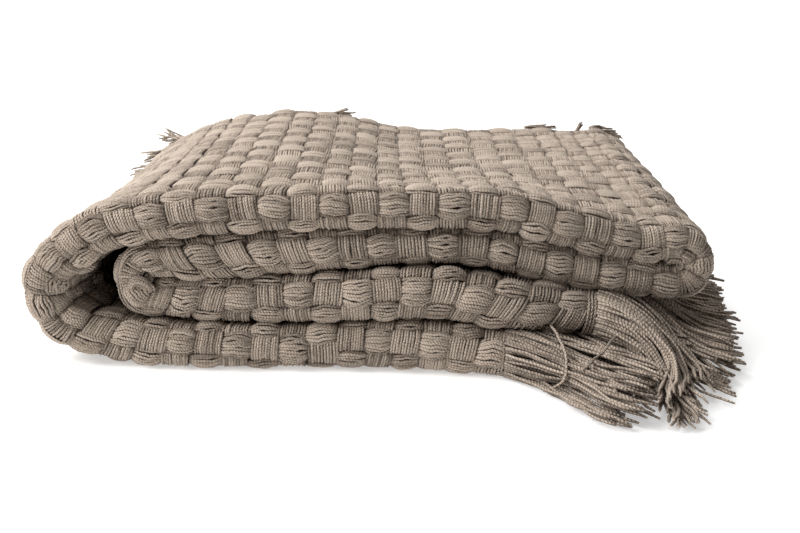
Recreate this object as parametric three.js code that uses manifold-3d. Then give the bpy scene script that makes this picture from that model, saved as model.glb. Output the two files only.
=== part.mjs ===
// A basket-woven cotton throw with loose fringe on all four sides, folded for a shelf.
// Millimetres, +Z up. The front is -Y, and the throw lies on the plane z = 0 with the origin under
// the middle of the pile.
//
// The cloth is one sheet. It is folded in half and in half again across its width, which makes a
// strip four sheets thick: its outer fold is at the front, and its two long edges lie at the back.
// The strip is then laid back and forth along its length in four layers. Both short ends come out
// at the lower right, one above the other, and their fringe spills over the surface.

import * as THREE from 'three';
import { mergeVertices } from 'three/addons/utils/BufferGeometryUtils.js';
import Module from 'manifold-3d';

const wasm = await Module();
wasm.setup();

// The pile's depth, from the centre of the front folds to the back edges
const FRONT_Y = -142.5;
const BACK_Y = 142;

// The sheet's thickness with the relief of its weave, and where the four sheets of the strip lie,
// in pitches from its middle
const SHEET = 5;
const OUTER_SHEET = 1.5;
const INNER_SHEET = 0.5;

// Half the thickness of a layer at the back, where the sheets lie closest
const BACK_FOLD = 12.1;

// How far the pile has gone from its front line to its back line at shares of the depth
const DEPTHS = [
  { share: 0, part: 0 },
  { share: 0.12, part: 0.33 },
  { share: 0.32, part: 0.7 },
  { share: 0.65, part: 0.93 },
  { share: 1, part: 1 },
];

// Steps in the folds and turns
const FRONT_FOLD_STEPS = 6;
const SMALL_FOLD_STEPS = 4;
const TURN_STEPS = 6;

// The bands that finish the edges, and their clearance to the cloth
const CLEARANCE = 0.4;
const END_BAND = 5;
const SIDE_BAND = 4;

// Fringe locks: three-sided, on a flat side, narrower at the tip
const LOCK_WIDTH = 4.4;
const LOCK_HEIGHT = 3.8;
const LOCK_TIP = 0.75;
const LOCK_STEPS = 4;

const COTTON = 0x8c7f74;
const COTTON_DARK = 0x7d7168;
const COTTON_ROUGHNESS = 0.92;

// The middle line of the strip, from the lower fringed end to the upper one. x and z are at the
// front folds and backX and backZ at the back edges. fold is half the layer's thickness at the
// front. nose moves the front fold of that station, and tail its back edges, towards +Y. A row with
// a radius is a turn about x and z, from the angle start through sweep degrees.
const STRIP = {
  bottom: [
    { x: 87, z: 13, fold: 13, nose: -27, backX: 150, backZ: 12.1, tail: 2 },
    { x: 52, z: 15.2, fold: 15.2, nose: -19, backX: 108, backZ: 12.1, tail: 0 },
    { x: 0, z: 14.8, fold: 14.8, nose: -13, backX: 45, backZ: 12.1, tail: -2 },
    { x: -60, z: 13.2, fold: 13.2, nose: -12, backX: -30, backZ: 12.1, tail: -3 },
    { x: -108, z: 13.2, fold: 13.2, nose: -12, backX: -92, backZ: 12.1, tail: -1 },
    { x: -142, z: 14.2, fold: 13.2, nose: -9, backX: -128, backZ: 12.6, tail: 1 },
    { x: -166, z: 16.4, fold: 13.2, nose: -5, backX: -152, backZ: 14.4, tail: 2 },
  ],
  leftTurn: [
    { x: -190, z: 22, fold: 13.5, nose: -2, backX: -172, backZ: 19.5, tail: 3 },
    { x: -204.5, z: 32, fold: 13.8, nose: 0, backX: -185, backZ: 29.5, tail: 4 },
    { x: -210.5, z: 46, fold: 14, nose: 1, backX: -191, backZ: 43.5, tail: 4 },
    { x: -207.5, z: 60.5, fold: 14, nose: 2, backX: -189, backZ: 57.5, tail: 3 },
    { x: -195, z: 74, fold: 14, nose: 1, backX: -179, backZ: 72, tail: 2 },
    { x: -177, z: 86, fold: 14, nose: 1, backX: -161, backZ: 85, tail: 0 },
  ],
  top: [
    { x: -152, z: 94, fold: 13.5, nose: 0, backX: -137, backZ: 95.5, tail: -2 },
    { x: -115, z: 98.6, fold: 13, nose: 0, backX: -108, backZ: 103, tail: -4 },
    { x: -75, z: 100.8, fold: 12.5, nose: 0, backX: -74, backZ: 106, tail: -4 },
    { x: -25, z: 102.8, fold: 12.3, nose: 0, backX: -28, backZ: 102, tail: -1 },
    { x: 18, z: 103, fold: 12.2, nose: 0, backX: 10, backZ: 93.5, tail: 1 },
    { x: 60, z: 102.8, fold: 12, nose: 0, backX: 52, backZ: 89.3, tail: 3 },
    { x: 93, z: 100, fold: 12, nose: 0, backX: 90, backZ: 89, tail: 3 },
    { x: 122, z: 92, fold: 12, nose: 0, backX: 122, backZ: 89.3, tail: 2 },
    { x: 152, z: 85, fold: 12, nose: 1, backX: 150, backZ: 90, tail: 0 },
    { x: 182, z: 79.6, fold: 11.3, nose: 2, backX: 175, backZ: 90, tail: -2 },
  ],
  rightTurn: [
    {
      x: 201, z: 65.8, radius: 12.8, fold: 11.3, nose: 3,
      backX: 190, backZ: 76.3, backRadius: 13.4, tail: -2,
      start: 80, sweep: -180,
    },
  ],
  second: [
    { x: 170, z: 57.2, fold: 11.6, nose: 2, backX: 166, backZ: 63.3, tail: 0 },
    { x: 140, z: 62, fold: 11.6, nose: 2, backX: 138, backZ: 63.3, tail: 2 },
    { x: 112, z: 67.8, fold: 12, nose: 2, backX: 110, backZ: 63.3, tail: 3 },
    { x: 75, z: 76.8, fold: 12, nose: 2, backX: 72, backZ: 63.3, tail: 3 },
    { x: 30, z: 78, fold: 11.6, nose: 2, backX: 28, backZ: 65, tail: 1 },
    { x: -20, z: 76, fold: 13, nose: 2, backX: -22, backZ: 71.5, tail: -2 },
    { x: -70, z: 72.6, fold: 14, nose: 2, backX: -70, backZ: 76, tail: -4 },
    { x: -108, z: 70.2, fold: 13.6, nose: 1, backX: -104, backZ: 73.5, tail: -3 },
  ],
  innerTurn: [
    {
      x: -140, z: 56.2, radius: 12.6, fold: 11.5, nose: 1,
      backX: -136, backZ: 54, backRadius: 13.6, tail: 0,
      start: 90, sweep: 180,
    },
  ],
  third: [
    { x: -108, z: 41.8, fold: 13.3, nose: -1, backX: -104, backZ: 40, tail: -1 },
    { x: -65, z: 42.5, fold: 14.5, nose: -3, backX: -64, backZ: 43, tail: 0 },
    { x: -20, z: 44.6, fold: 15.3, nose: -6, backX: -22, backZ: 42, tail: -1 },
    { x: 22, z: 48, fold: 16, nose: -10, backX: 26, backZ: 39, tail: -1 },
    { x: 55, z: 48.3, fold: 15.2, nose: -14, backX: 66, backZ: 37.8, tail: 0 },
    { x: 84, z: 44, fold: 14.3, nose: -17, backX: 100, backZ: 37.8, tail: 1 },
    { x: 115, z: 40, fold: 12.6, nose: -18, backX: 136, backZ: 37.8, tail: 2 },
    { x: 145, z: 35, fold: 11.2, nose: -17, backX: 170, backZ: 37.8, tail: 2 },
  ],
};

// The fringe of the two short ends. frontTurn and backTurn are how far the first and the last lock
// swing towards the front, in degrees. The rows run from the lowest sheet to the highest, and rests
// are the heights that their tips lie at. Behind the share liftBy they lie higher by lift, on the
// fringe below them.
const END_FRINGE = [
  {
    name: 'fringe_end_lower', atStart: true, count: 13, length: 114,
    frontTurn: 62, backTurn: 6, rests: [0, 3, 6, 9], lift: 0, liftBy: 1,
  },
  {
    name: 'fringe_end_upper', atStart: false, count: 13, length: 116,
    frontTurn: 84, backTurn: 0, rests: [0, 0, 3, 6], lift: 14, liftBy: 0.1,
  },
];

// The fringe of the two long edges, behind the pile. Each edge belongs to one sheet of the strip.
// Its locks leave a layer at even steps, shifted from row to row, and reach out to a tip that lies
// at a height above the surface.
const SIDE_STEP = 38;
const SIDE_FRINGE = [
  {
    name: 'fringe_side_outer', sheet: OUTER_SHEET, rows: [
      { layer: 'top', phase: 0, reach: 50, tip: 34 },
      { layer: 'second', phase: 1, reach: 72, tip: 14 },
      { layer: 'third', phase: 2, reach: 80, tip: 9 },
      { layer: 'bottom', phase: 3, reach: 98, tip: 0 },
      { layer: 'leftTurn', reach: 66, tip: 4, splay: -24 },
    ],
  },
  {
    name: 'fringe_side_inner', sheet: INNER_SHEET, rows: [
      { layer: 'top', phase: 4, reach: 56, tip: 27 },
      { layer: 'second', phase: 5, reach: 66, tip: 19 },
      { layer: 'third', phase: 6, reach: 86, tip: 4 },
      { layer: 'bottom', phase: 7, reach: 93, tip: 0 },
    ],
  },
];
const SIDE_PHASES = 8;

const lerp = THREE.MathUtils.lerp;
const degrees = THREE.MathUtils.degToRad;

// How far the pile has gone from its front line to its back line at a share of the depth
function part(share) {
  const k = Math.max(1, DEPTHS.findIndex((row) => row.share >= share));
  const [one, two] = [DEPTHS[k - 1], DEPTHS[k]];
  return THREE.MathUtils.mapLinear(share, one.share, two.share, one.part, two.part);
}

// The stations of one stretch of the strip, with a turn spelled out as points
function stationsOf(layer) {
  return STRIP[layer].flatMap((row) => {
    if (!row.radius) {
      return [{ ...row, layer }];
    }
    return Array.from({ length: TURN_STEPS + 1 }, (_, step) => {
      const angle = degrees(row.start + (row.sweep * step) / TURN_STEPS);
      return {
        ...row,
        layer,
        x: row.x + row.radius * Math.cos(angle),
        z: row.z + row.radius * Math.sin(angle),
        backX: row.backX + row.backRadius * Math.cos(angle),
        backZ: row.backZ + row.backRadius * Math.sin(angle),
      };
    });
  });
}

const PATH = Object.keys(STRIP).flatMap(stationsOf);
const LAST = PATH.length - 1;

// Pitch of sheet on sheet in a layer that is twice the given half thick
function pitchOf(half) {
  return (half - SHEET / 2) / OUTER_SHEET;
}

function pitchAt(i, share) {
  return lerp(pitchOf(PATH[i].fold), pitchOf(BACK_FOLD), part(share));
}

// Middle of the strip at a station, as x and z, for a share of the depth
function middle(station, share) {
  const gone = part(share);
  return new THREE.Vector2(
    lerp(station.x, station.backX, gone),
    lerp(station.z, station.backZ, gone),
  );
}

// Middle, direction of travel and normal of the strip at station i. The normal is longer where the
// strip bends, so that the sheets beside its middle keep their thickness.
function frameAt(i, share) {
  const here = middle(PATH[i], share);
  const leaving = middle(PATH[Math.min(i + 1, LAST)], share).sub(here).normalize();
  const arriving = here.clone().sub(middle(PATH[Math.max(i - 1, 0)], share)).normalize();
  const before = i === 0 ? leaving : arriving;
  const after = i === LAST ? arriving : leaving;
  const along = before.clone().add(after).normalize();
  const normal = new THREE.Vector2(-along.y, along.x);
  normal.divideScalar(normal.dot(new THREE.Vector2(-before.y, before.x)));
  return { here, along, normal };
}

// A point of the strip at station i, on or above the surface that the throw lies on. spot has a
// share of the depth and two pairs of y shift and height over the strip's middle: one in pitches,
// and one in millimetres.
function stripPoint(i, spot, shiftAlong = 0) {
  const { here, along, normal } = frameAt(i, spot.share);
  const pitch = pitchAt(i, spot.share);
  const shiftY = spot.pitches.x * pitch + spot.fixed.x;
  const off = spot.pitches.y * pitch + spot.fixed.y;
  const y = lerp(FRONT_Y + PATH[i].nose, BACK_Y + PATH[i].tail, spot.share);
  const z = here.y + normal.y * off + along.y * shiftAlong;
  return new THREE.Vector3(
    here.x + normal.x * off + along.x * shiftAlong,
    y + shiftY,
    Math.max(z, 0),
  );
}

function spotAt(share, level, shiftY = 0, off = 0) {
  return {
    share,
    pitches: new THREE.Vector2(0, level),
    fixed: new THREE.Vector2(shiftY, off),
  };
}

// One face of the sheet across the strip, from its first long edge to its second. side is 1 for the
// face that lies outside on the top sheet, and -1 for the other face.
function sheetFace(side) {
  const half = (side * SHEET) / 2;
  const outwards = DEPTHS.map((row) => row.share);
  const inwards = [...outwards].reverse();
  const run = (level, lean, shares) =>
    shares.map((share) => spotAt(share, level, 0, lean * half));
  const fold = ({ share, centre, size, lean, towards, from, steps }) =>
    Array.from({ length: steps - 1 }, (_, step) => {
      const angle = (Math.PI * (step + 1)) / steps;
      const turn = new THREE.Vector2(towards * Math.sin(angle), from * Math.cos(angle));
      return {
        share,
        pitches: new THREE.Vector2(0, centre).addScaledVector(turn, size),
        fixed: turn.clone().multiplyScalar(lean * half),
      };
    });
  const front = { share: 0, centre: 0, towards: -1 };
  return [
    ...run(OUTER_SHEET, 1, inwards),
    ...fold({ ...front, size: OUTER_SHEET, lean: 1, from: 1, steps: FRONT_FOLD_STEPS }),
    ...run(-OUTER_SHEET, -1, outwards),
    ...fold({ share: 1, centre: -1, size: 0.5, lean: 1, towards: 1, from: -1, steps: SMALL_FOLD_STEPS }),
    ...run(-INNER_SHEET, 1, inwards),
    ...fold({ ...front, size: INNER_SHEET, lean: -1, from: -1, steps: SMALL_FOLD_STEPS }),
    ...run(INNER_SHEET, -1, outwards),
  ];
}

const SECTION = [...sheetFace(1), ...sheetFace(-1).reverse()];

// Where the section runs towards the back. Side faces split the other way there, so that all the
// sheets of a layer have the same creases and keep apart.
function runsBack(k) {
  return SECTION[k].share < SECTION[(k + 1) % SECTION.length].share;
}

// Triangles that fill a ring as a ladder: its first half lies along its second half
function ladder(count) {
  const triangles = [];
  let [low, high] = [0, count - 1];
  while (high - low > 1) {
    triangles.push([low, low + 1, high]);
    low += 1;
    if (high - low > 1) {
      triangles.push([low, high - 1, high]);
      high -= 1;
    }
  }
  return triangles;
}

// A closed body from rings with the same number of points, with the first and last one filled.
// The side faces after the points that turned picks are split along their other diagonal.
function loft(rings, turned = () => false) {
  const count = rings[0].length;
  const position = new Float32Array(rings.flat().flatMap((p) => [p.x, p.y, p.z]));
  const index = [];
  for (let r = 0; r < rings.length - 1; r += 1) {
    for (let k = 0; k < count; k += 1) {
      const [a, b] = [r * count + k, r * count + ((k + 1) % count)];
      const [c, d] = [b + count, a + count];
      index.push(...(turned(k) ? [a, b, d, b, c, d] : [a, b, c, a, c, d]));
    }
  }
  const last = (rings.length - 1) * count;
  for (const [a, b, c] of ladder(count)) {
    index.push(c, b, a, last + a, last + b, last + c);
  }
  const geometry = new THREE.BufferGeometry();
  geometry.setAttribute('position', new THREE.BufferAttribute(position, 3));
  geometry.setIndex(index);
  return facingOut(geometry);
}

// Signed volume, which is negative where the faces point inwards
function volumeOf(geometry) {
  const at = geometry.getAttribute('position');
  const index = geometry.getIndex();
  const corner = [new THREE.Vector3(), new THREE.Vector3(), new THREE.Vector3()];
  let sum = 0;
  for (let i = 0; i < index.count; i += 3) {
    corner.forEach((v, k) => v.fromBufferAttribute(at, index.getX(i + k)));
    sum += corner[0].dot(corner[1].cross(corner[2])) / 6;
  }
  return sum;
}

function facingOut(geometry) {
  if (volumeOf(geometry) < 0) {
    geometry.setIndex(Array.from(geometry.getIndex().array).reverse());
  }
  return geometry;
}

// The cloth: the folded section of the strip, carried along its path
function clothGeometry() {
  return loft(PATH.map((_, i) => SECTION.map((spot) => stripPoint(i, spot))), runsBack);
}

// The band across a short end: the same folded section, as long as the band is wide
function endBand(atStart) {
  const i = atStart ? 0 : LAST;
  const outwards = atStart ? -1 : 1;
  const shifts = [CLEARANCE, CLEARANCE + END_BAND];
  return loft(shifts.map((shift) => SECTION.map((spot) => stripPoint(i, spot, outwards * shift))));
}

// The band along a long edge, which follows the back of the pile round all its turns
function sideBand(sheet) {
  const [near, far] = [CLEARANCE, CLEARANCE + SIDE_BAND];
  const half = SHEET / 2;
  const corners = [[near, -half], [near, half], [far, half], [far, -half]];
  const spots = corners.map(([shiftY, off]) => spotAt(1, sheet, shiftY, off));
  return loft(PATH.map((_, i) => spots.map((spot) => stripPoint(i, spot))));
}

// A lock of fringe along a curve, kept at or above the height that it rests at. Its section is a
// triangle that stands on a flat side.
function lock(root, leave, arrive, tip, rest) {
  const centre = LOCK_HEIGHT / 3;
  const line = new THREE.CubicBezierCurve3(root, leave, arrive, tip).getPoints(LOCK_STEPS);
  line.forEach((p) => p.setZ(Math.max(p.z, rest + centre)));
  return loft(line.map((p, k) => {
    const [next, previous] = [line[Math.min(k + 1, LOCK_STEPS)], line[Math.max(k - 1, 0)]];
    const along = next.clone().sub(previous).normalize();
    const side = new THREE.Vector3(-along.y, along.x, 0).normalize();
    const up = along.clone().cross(side);
    const size = lerp(1, LOCK_TIP, k / LOCK_STEPS);
    const corner = (across, height) => {
      const at = p.clone().addScaledVector(side, across * size).addScaledVector(up, height * size);
      return at.setZ(Math.max(at.z, rest));
    };
    return [
      corner(-LOCK_WIDTH / 2, -centre),
      corner(LOCK_WIDTH / 2, -centre),
      corner(0, LOCK_HEIGHT - centre),
    ];
  }));
}

// The locks of an end's fringe. Those at the front swing round towards the front.
function endLocks({ atStart, count, length, frontTurn, backTurn, rests, lift, liftBy }) {
  const i = atStart ? 0 : LAST;
  const outwards = atStart ? -1 : 1;
  return rests.flatMap((low, row) => Array.from({ length: count }, (_, k) => {
    const share = (k + (row + 0.5) / rests.length) / count;
    const rest = low + lift * Math.min(1, share / liftBy);
    const level = (OUTER_SHEET - row) * -outwards;
    const root = stripPoint(i, spotAt(share, level), outwards * (CLEARANCE + END_BAND / 2));
    const turn = degrees(lerp(frontTurn, backTurn, Math.sqrt(share)));
    const heading = new THREE.Vector3(Math.cos(turn), -Math.sin(turn), 0);
    const start = new THREE.Vector3(Math.cos(turn / 2), -Math.sin(turn / 2), 0);
    const leave = root.clone().addScaledVector(start, length * 0.3);
    leave.setZ(lerp(root.z, rest, 0.4));
    const tip = leave.clone().addScaledVector(heading, length * 0.66).setZ(rest);
    const arrive = tip.clone().addScaledVector(heading, -length * 0.3);
    return lock(root, leave, arrive, tip, rest);
  }));
}

// Places along one stretch of the strip, as a station and how far the place is towards the next:
// at even steps in x in a layer, or at every station of a turn
function placesOn(layer, phase) {
  const first = PATH.findIndex((station) => station.layer === layer);
  const last = PATH.findLastIndex((station) => station.layer === layer);
  const places = [];
  for (let i = first; i < last; i += 1) {
    if (phase === undefined) {
      places.push({ i, towards: 0.5 });
      continue;
    }
    const [from, to] = [PATH[i].backX, PATH[i + 1].backX];
    const shift = (phase / SIDE_PHASES) * SIDE_STEP;
    const start = Math.ceil((Math.min(from, to) - shift) / SIDE_STEP) * SIDE_STEP + shift;
    for (let x = start; x < Math.max(from, to); x += SIDE_STEP) {
      places.push({ i, towards: (x - from) / (to - from) });
    }
  }
  return places;
}

// The locks of one stretch of a long edge: out behind the pile, and down under their weight
function sideLocks(sheet, { layer, phase, reach, tip: height, splay = 0 }) {
  const turn = degrees(splay);
  const heading = new THREE.Vector3(Math.sin(turn), Math.cos(turn), 0);
  const spot = spotAt(1, sheet, CLEARANCE + SIDE_BAND / 2);
  return placesOn(layer, phase).map(({ i, towards }) => {
    const root = stripPoint(i, spot).lerp(stripPoint(i + 1, spot), towards);
    const leave = root.clone().addScaledVector(heading, reach * 0.45);
    const tip = root.clone().addScaledVector(heading, reach).setZ(height);
    const arrive = tip.clone().addScaledVector(heading, -reach * 0.2);
    arrive.setZ(lerp(height, root.z, 0.35));
    return lock(root, leave, arrive, tip, height);
  });
}

function toSolid(geometry) {
  const merged = mergeVertices(geometry, 1e-5);
  return new wasm.Manifold(
    new wasm.Mesh({
      numProp: 3,
      vertProperties: new Float32Array(merged.getAttribute('position').array),
      triVerts: new Uint32Array(merged.getIndex().array),
    }),
  );
}

// A band with its locks, in one body
function fringe(band, locks) {
  const solid = locks.reduce((sum, geometry) => sum.add(toSolid(geometry)), toSolid(band));
  const mesh = solid.getMesh();
  const geometry = new THREE.BufferGeometry();
  const position = new Float32Array(mesh.vertProperties);
  geometry.setAttribute('position', new THREE.BufferAttribute(position, 3));
  geometry.setIndex(Array.from(mesh.triVerts));
  return geometry;
}

function cotton(color) {
  return new THREE.MeshStandardMaterial({ color, roughness: COTTON_ROUGHNESS, metalness: 0 });
}

function piece(name, geometry, color) {
  geometry.computeVertexNormals();
  const mesh = new THREE.Mesh(geometry, cotton(color));
  mesh.name = name;
  return mesh;
}

const folded = new THREE.Group();
folded.add(piece('cloth', clothGeometry(), COTTON));
for (const end of END_FRINGE) {
  folded.add(piece(end.name, fringe(endBand(end.atStart), endLocks(end)), COTTON_DARK));
}
for (const { name, sheet, rows } of SIDE_FRINGE) {
  const locks = rows.flatMap((row) => sideLocks(sheet, row));
  folded.add(piece(name, fringe(sideBand(sheet), locks), COTTON_DARK));
}

export default folded;
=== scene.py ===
"""A basket-woven cotton throw with loose fringe, folded for a shelf: its yarns, edges and strands.

The cloth is folded in half and in half again across its width. That makes a strip four sheets
thick, with its outer fold at the front and its long edges at the back. The strip lies back and
forth in four layers. Everything here is placed by two coordinates on the strip: how far along its
path, and how far across it from the front fold.
"""

import logging
import math
from dataclasses import dataclass
from enum import Enum
from typing import Iterable

import bpy
import numpy as np
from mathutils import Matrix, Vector


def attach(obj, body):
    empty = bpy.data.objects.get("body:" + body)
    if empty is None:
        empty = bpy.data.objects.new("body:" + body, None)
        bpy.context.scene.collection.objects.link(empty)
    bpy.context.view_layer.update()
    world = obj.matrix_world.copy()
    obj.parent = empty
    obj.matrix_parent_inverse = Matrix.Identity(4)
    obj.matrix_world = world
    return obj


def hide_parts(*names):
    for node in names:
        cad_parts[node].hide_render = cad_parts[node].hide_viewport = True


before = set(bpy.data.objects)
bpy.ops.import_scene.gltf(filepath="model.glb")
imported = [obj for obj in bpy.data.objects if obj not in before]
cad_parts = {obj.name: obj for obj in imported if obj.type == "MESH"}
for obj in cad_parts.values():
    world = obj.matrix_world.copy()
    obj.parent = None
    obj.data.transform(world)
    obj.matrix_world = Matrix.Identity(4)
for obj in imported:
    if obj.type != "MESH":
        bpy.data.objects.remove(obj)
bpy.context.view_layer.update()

LOG = logging.getLogger("throw")
# The first random seed, and how far on those of the fringes and of the loose ends start
SEED = 41
FRINGE_SEED = 40
LOOSE_SEED = 60
MM = 0.001
BODY = "root"

# The pile's depth, from the centre of the front folds to the back edges
FRONT_Y = -142.5 * MM
BACK_Y = 142 * MM

# The thickness of a sheet with the relief of its weave, and half that of a layer at the back
SHEET = 5 * MM
BACK_FOLD = 12.1 * MM

# How fast the pile goes from its front line to its back line
DEPTH_POWER = 3.1

# Where the sheets of the strip lie, in pitches from its middle
OUTER_SHEET = 1.5
INNER_SHEET = 0.5

# The weave: blocks of yarns that go over and under each other, in pairs of columns
PAIR = 38 * MM
ROW = 17 * MM


class Stretch(Enum):
    """The stretches of the strip, in the order of its path."""

    BOTTOM = "bottom"
    LEFT_TURN = "left turn"
    TOP = "top"
    RIGHT_TURN = "right turn"
    SECOND = "second layer"
    INNER_TURN = "inner turn"
    THIRD = "third layer"


@dataclass(frozen=True)
class Station:
    """A place on the strip's middle line, in millimetres.

    x and z are at the front fold, and back_x and back_z at the back edges. fold is half the
    thickness of the layer at the front. nose and tail move the front fold and the back edges
    towards the back.
    """

    x: float
    z: float
    fold: float
    nose: float
    back_x: float
    back_z: float
    tail: float

    def values(self) -> list[float]:
        """The numbers of this station, in metres."""
        row = [self.x, self.z, self.fold, self.nose, self.back_x, self.back_z, self.tail]
        return [value * MM for value in row]


@dataclass(frozen=True)
class Turn:
    """A round turn of the strip about a centre, in millimetres and degrees."""

    x: float
    z: float
    radius: float
    fold: float
    nose: float
    back_x: float
    back_z: float
    back_radius: float
    tail: float
    start: float
    sweep: float

    def stations(self, steps: int = 6) -> list[Station]:
        """The turn as places on its arc.

        Args:
            steps: The number of steps round the arc.

        Returns:
            The stations, first to last.
        """
        found = []
        for step in range(steps + 1):
            angle = math.radians(self.start + self.sweep * step / steps)
            cos, sin = math.cos(angle), math.sin(angle)
            found.append(
                Station(
                    self.x + self.radius * cos,
                    self.z + self.radius * sin,
                    self.fold,
                    self.nose,
                    self.back_x + self.back_radius * cos,
                    self.back_z + self.back_radius * sin,
                    self.tail,
                )
            )
        return found


STRIP: dict[Stretch, list[Station]] = {
    Stretch.BOTTOM: [
        Station(87, 13, 13, -27, 150, 12.1, 2),
        Station(52, 15.2, 15.2, -19, 108, 12.1, 0),
        Station(0, 14.8, 14.8, -13, 45, 12.1, -2),
        Station(-60, 13.2, 13.2, -12, -30, 12.1, -3),
        Station(-108, 13.2, 13.2, -12, -92, 12.1, -1),
        Station(-142, 14.2, 13.2, -9, -128, 12.6, 1),
        Station(-166, 16.4, 13.2, -5, -152, 14.4, 2),
    ],
    Stretch.LEFT_TURN: [
        Station(-190, 22, 13.5, -2, -172, 19.5, 3),
        Station(-204.5, 32, 13.8, 0, -185, 29.5, 4),
        Station(-210.5, 46, 14, 1, -191, 43.5, 4),
        Station(-207.5, 60.5, 14, 2, -189, 57.5, 3),
        Station(-195, 74, 14, 1, -179, 72, 2),
        Station(-177, 86, 14, 1, -161, 85, 0),
    ],
    Stretch.TOP: [
        Station(-152, 94, 13.5, 0, -137, 95.5, -2),
        Station(-115, 98.6, 13, 0, -108, 103, -4),
        Station(-75, 100.8, 12.5, 0, -74, 106, -4),
        Station(-25, 102.8, 12.3, 0, -28, 102, -1),
        Station(18, 103, 12.2, 0, 10, 93.5, 1),
        Station(60, 102.8, 12, 0, 52, 89.3, 3),
        Station(93, 100, 12, 0, 90, 89, 3),
        Station(122, 92, 12, 0, 122, 89.3, 2),
        Station(152, 85, 12, 1, 150, 90, 0),
        Station(182, 79.6, 11.3, 2, 175, 90, -2),
    ],
    Stretch.RIGHT_TURN: Turn(201, 65.8, 12.8, 11.3, 3, 190, 76.3, 13.4, -2, 80, -180).stations(),
    Stretch.SECOND: [
        Station(170, 57.2, 11.6, 2, 166, 63.3, 0),
        Station(140, 62, 11.6, 2, 138, 63.3, 2),
        Station(112, 67.8, 12, 2, 110, 63.3, 3),
        Station(75, 76.8, 12, 2, 72, 63.3, 3),
        Station(30, 78, 11.6, 2, 28, 65, 1),
        Station(-20, 76, 13, 2, -22, 71.5, -2),
        Station(-70, 72.6, 14, 2, -70, 76, -4),
        Station(-108, 70.2, 13.6, 1, -104, 73.5, -3),
    ],
    Stretch.INNER_TURN: Turn(-140, 56.2, 12.6, 11.5, 1, -136, 54, 13.6, 0, 90, 180).stations(),
    Stretch.THIRD: [
        Station(-108, 41.8, 13.3, -1, -104, 40, -1),
        Station(-65, 42.5, 14.5, -3, -64, 43, 0),
        Station(-20, 44.6, 15.3, -6, -22, 42, -1),
        Station(22, 48, 16, -10, 26, 39, -1),
        Station(55, 48.3, 15.2, -14, 66, 37.8, 0),
        Station(84, 44, 14.3, -17, 100, 37.8, 1),
        Station(115, 40, 12.6, -18, 136, 37.8, 2),
        Station(145, 35, 11.2, -17, 170, 37.8, 2),
    ],
}


@dataclass(frozen=True)
class Anchor:
    """A block whose yarns run across the strip, and where its middle lies.

    x and z are on the strip's middle line, and across is how far the block lies from the nose of
    the front fold, positive on the first sheet, all in millimetres. pairs counts pairs of columns
    from the middle of the top layer, row counts rows from the front, and lean is how far the
    block slants along the path, as a share of its height.
    """

    x: float
    z: float
    pairs: float
    row: int
    across: float
    lean: float = 0.0


ANCHORS = (
    Anchor(82.5, 13.3, -14.5, -3, -19, 0.2),
    Anchor(60.2, 14.8, -14, -2, -4.5, 0.18),
    Anchor(24.4, 15.4, -13, -2, -6.5, 0.15),
    Anchor(-10.3, 14.5, -12, -2, -8.5, 0.15),
    Anchor(-30.6, 13.9, -11.5, -1, 2, 0.05),
    Anchor(-67.7, 13.1, -10.5, -1, -2.5, 0.1),
    Anchor(-104.7, 13.2, -9.5, -1, -7, 0.1),
    Anchor(-140.5, 14.1, -8.5, -1, -6.5, 0.26),
    Anchor(-176, 18, -7.5, -1, -10, 0.42),
    Anchor(-199.7, 27.4, -7, 0, 5, 0.2),
    Anchor(-209.2, 56.5, -6, 0, 4.5, 0.0),
    Anchor(-188.4, 79.1, -5, 0, 4.5, -0.1),
    Anchor(-154.6, 93.5, -4, 0, 4.5, -0.34),
    Anchor(-119, 98.3, -3, 0, 5.5, -0.1),
    Anchor(-77.3, 100.7, -2, 0, 5, -0.06),
    Anchor(-39.4, 102.4, -1, 0, 4),
    Anchor(-1.7, 103, 0, 0, 6),
    Anchor(36.1, 103, 1, 0, 5.5),
    Anchor(75.1, 102.3, 2, 0, 4.5),
    Anchor(110.1, 95.5, 3, 0, 7),
    Anchor(146.9, 86.2, 4, 0, 5),
    Anchor(184.1, 79.5, 5, 0, 7),
    Anchor(210.1, 74.8, 6, 0, 8.5),
    Anchor(209.1, 55.9, 7, 0, 0),
    Anchor(175.7, 56.2, 8, 0, 1.5),
    Anchor(141.2, 61.8, 9, 0, -2.5),
    Anchor(105.2, 69.6, 10, 0, -0.5, -0.08),
    Anchor(68.1, 77.7, 11, 0, -1.5),
    Anchor(29, 78, 12, 0, -1, -0.1),
    Anchor(-10.3, 76.5, 13, 0, -2.5, -0.08),
    Anchor(-46.8, 74.3, 14, 0, -2.5, -0.24),
    Anchor(-84.9, 71.5, 15, 0, -4, -0.45),
    Anchor(-124, 69.9, 16, 0, -1.5, -0.55),
    Anchor(-152, 59.9, 17, 0, -1.5, -0.2),
    Anchor(-135.3, 43, 18, 0, 2, 0.45),
    Anchor(-100.9, 41.8, 19, 0, 4, 0.25),
    Anchor(-63, 42.6, 20, 0, 6.5),
    Anchor(-24.6, 44.3, 21, 0, 7.5, 0.1),
    Anchor(13.2, 47.3, 22, 0, 8, 0.08),
    Anchor(50.7, 48.6, 23, 0, 6.5, 0.3),
    Anchor(87.3, 43.5, 24, 0, 2, 0.4),
    Anchor(129.9, 37.7, 25, 0, -1, 0.3),
)


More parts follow.
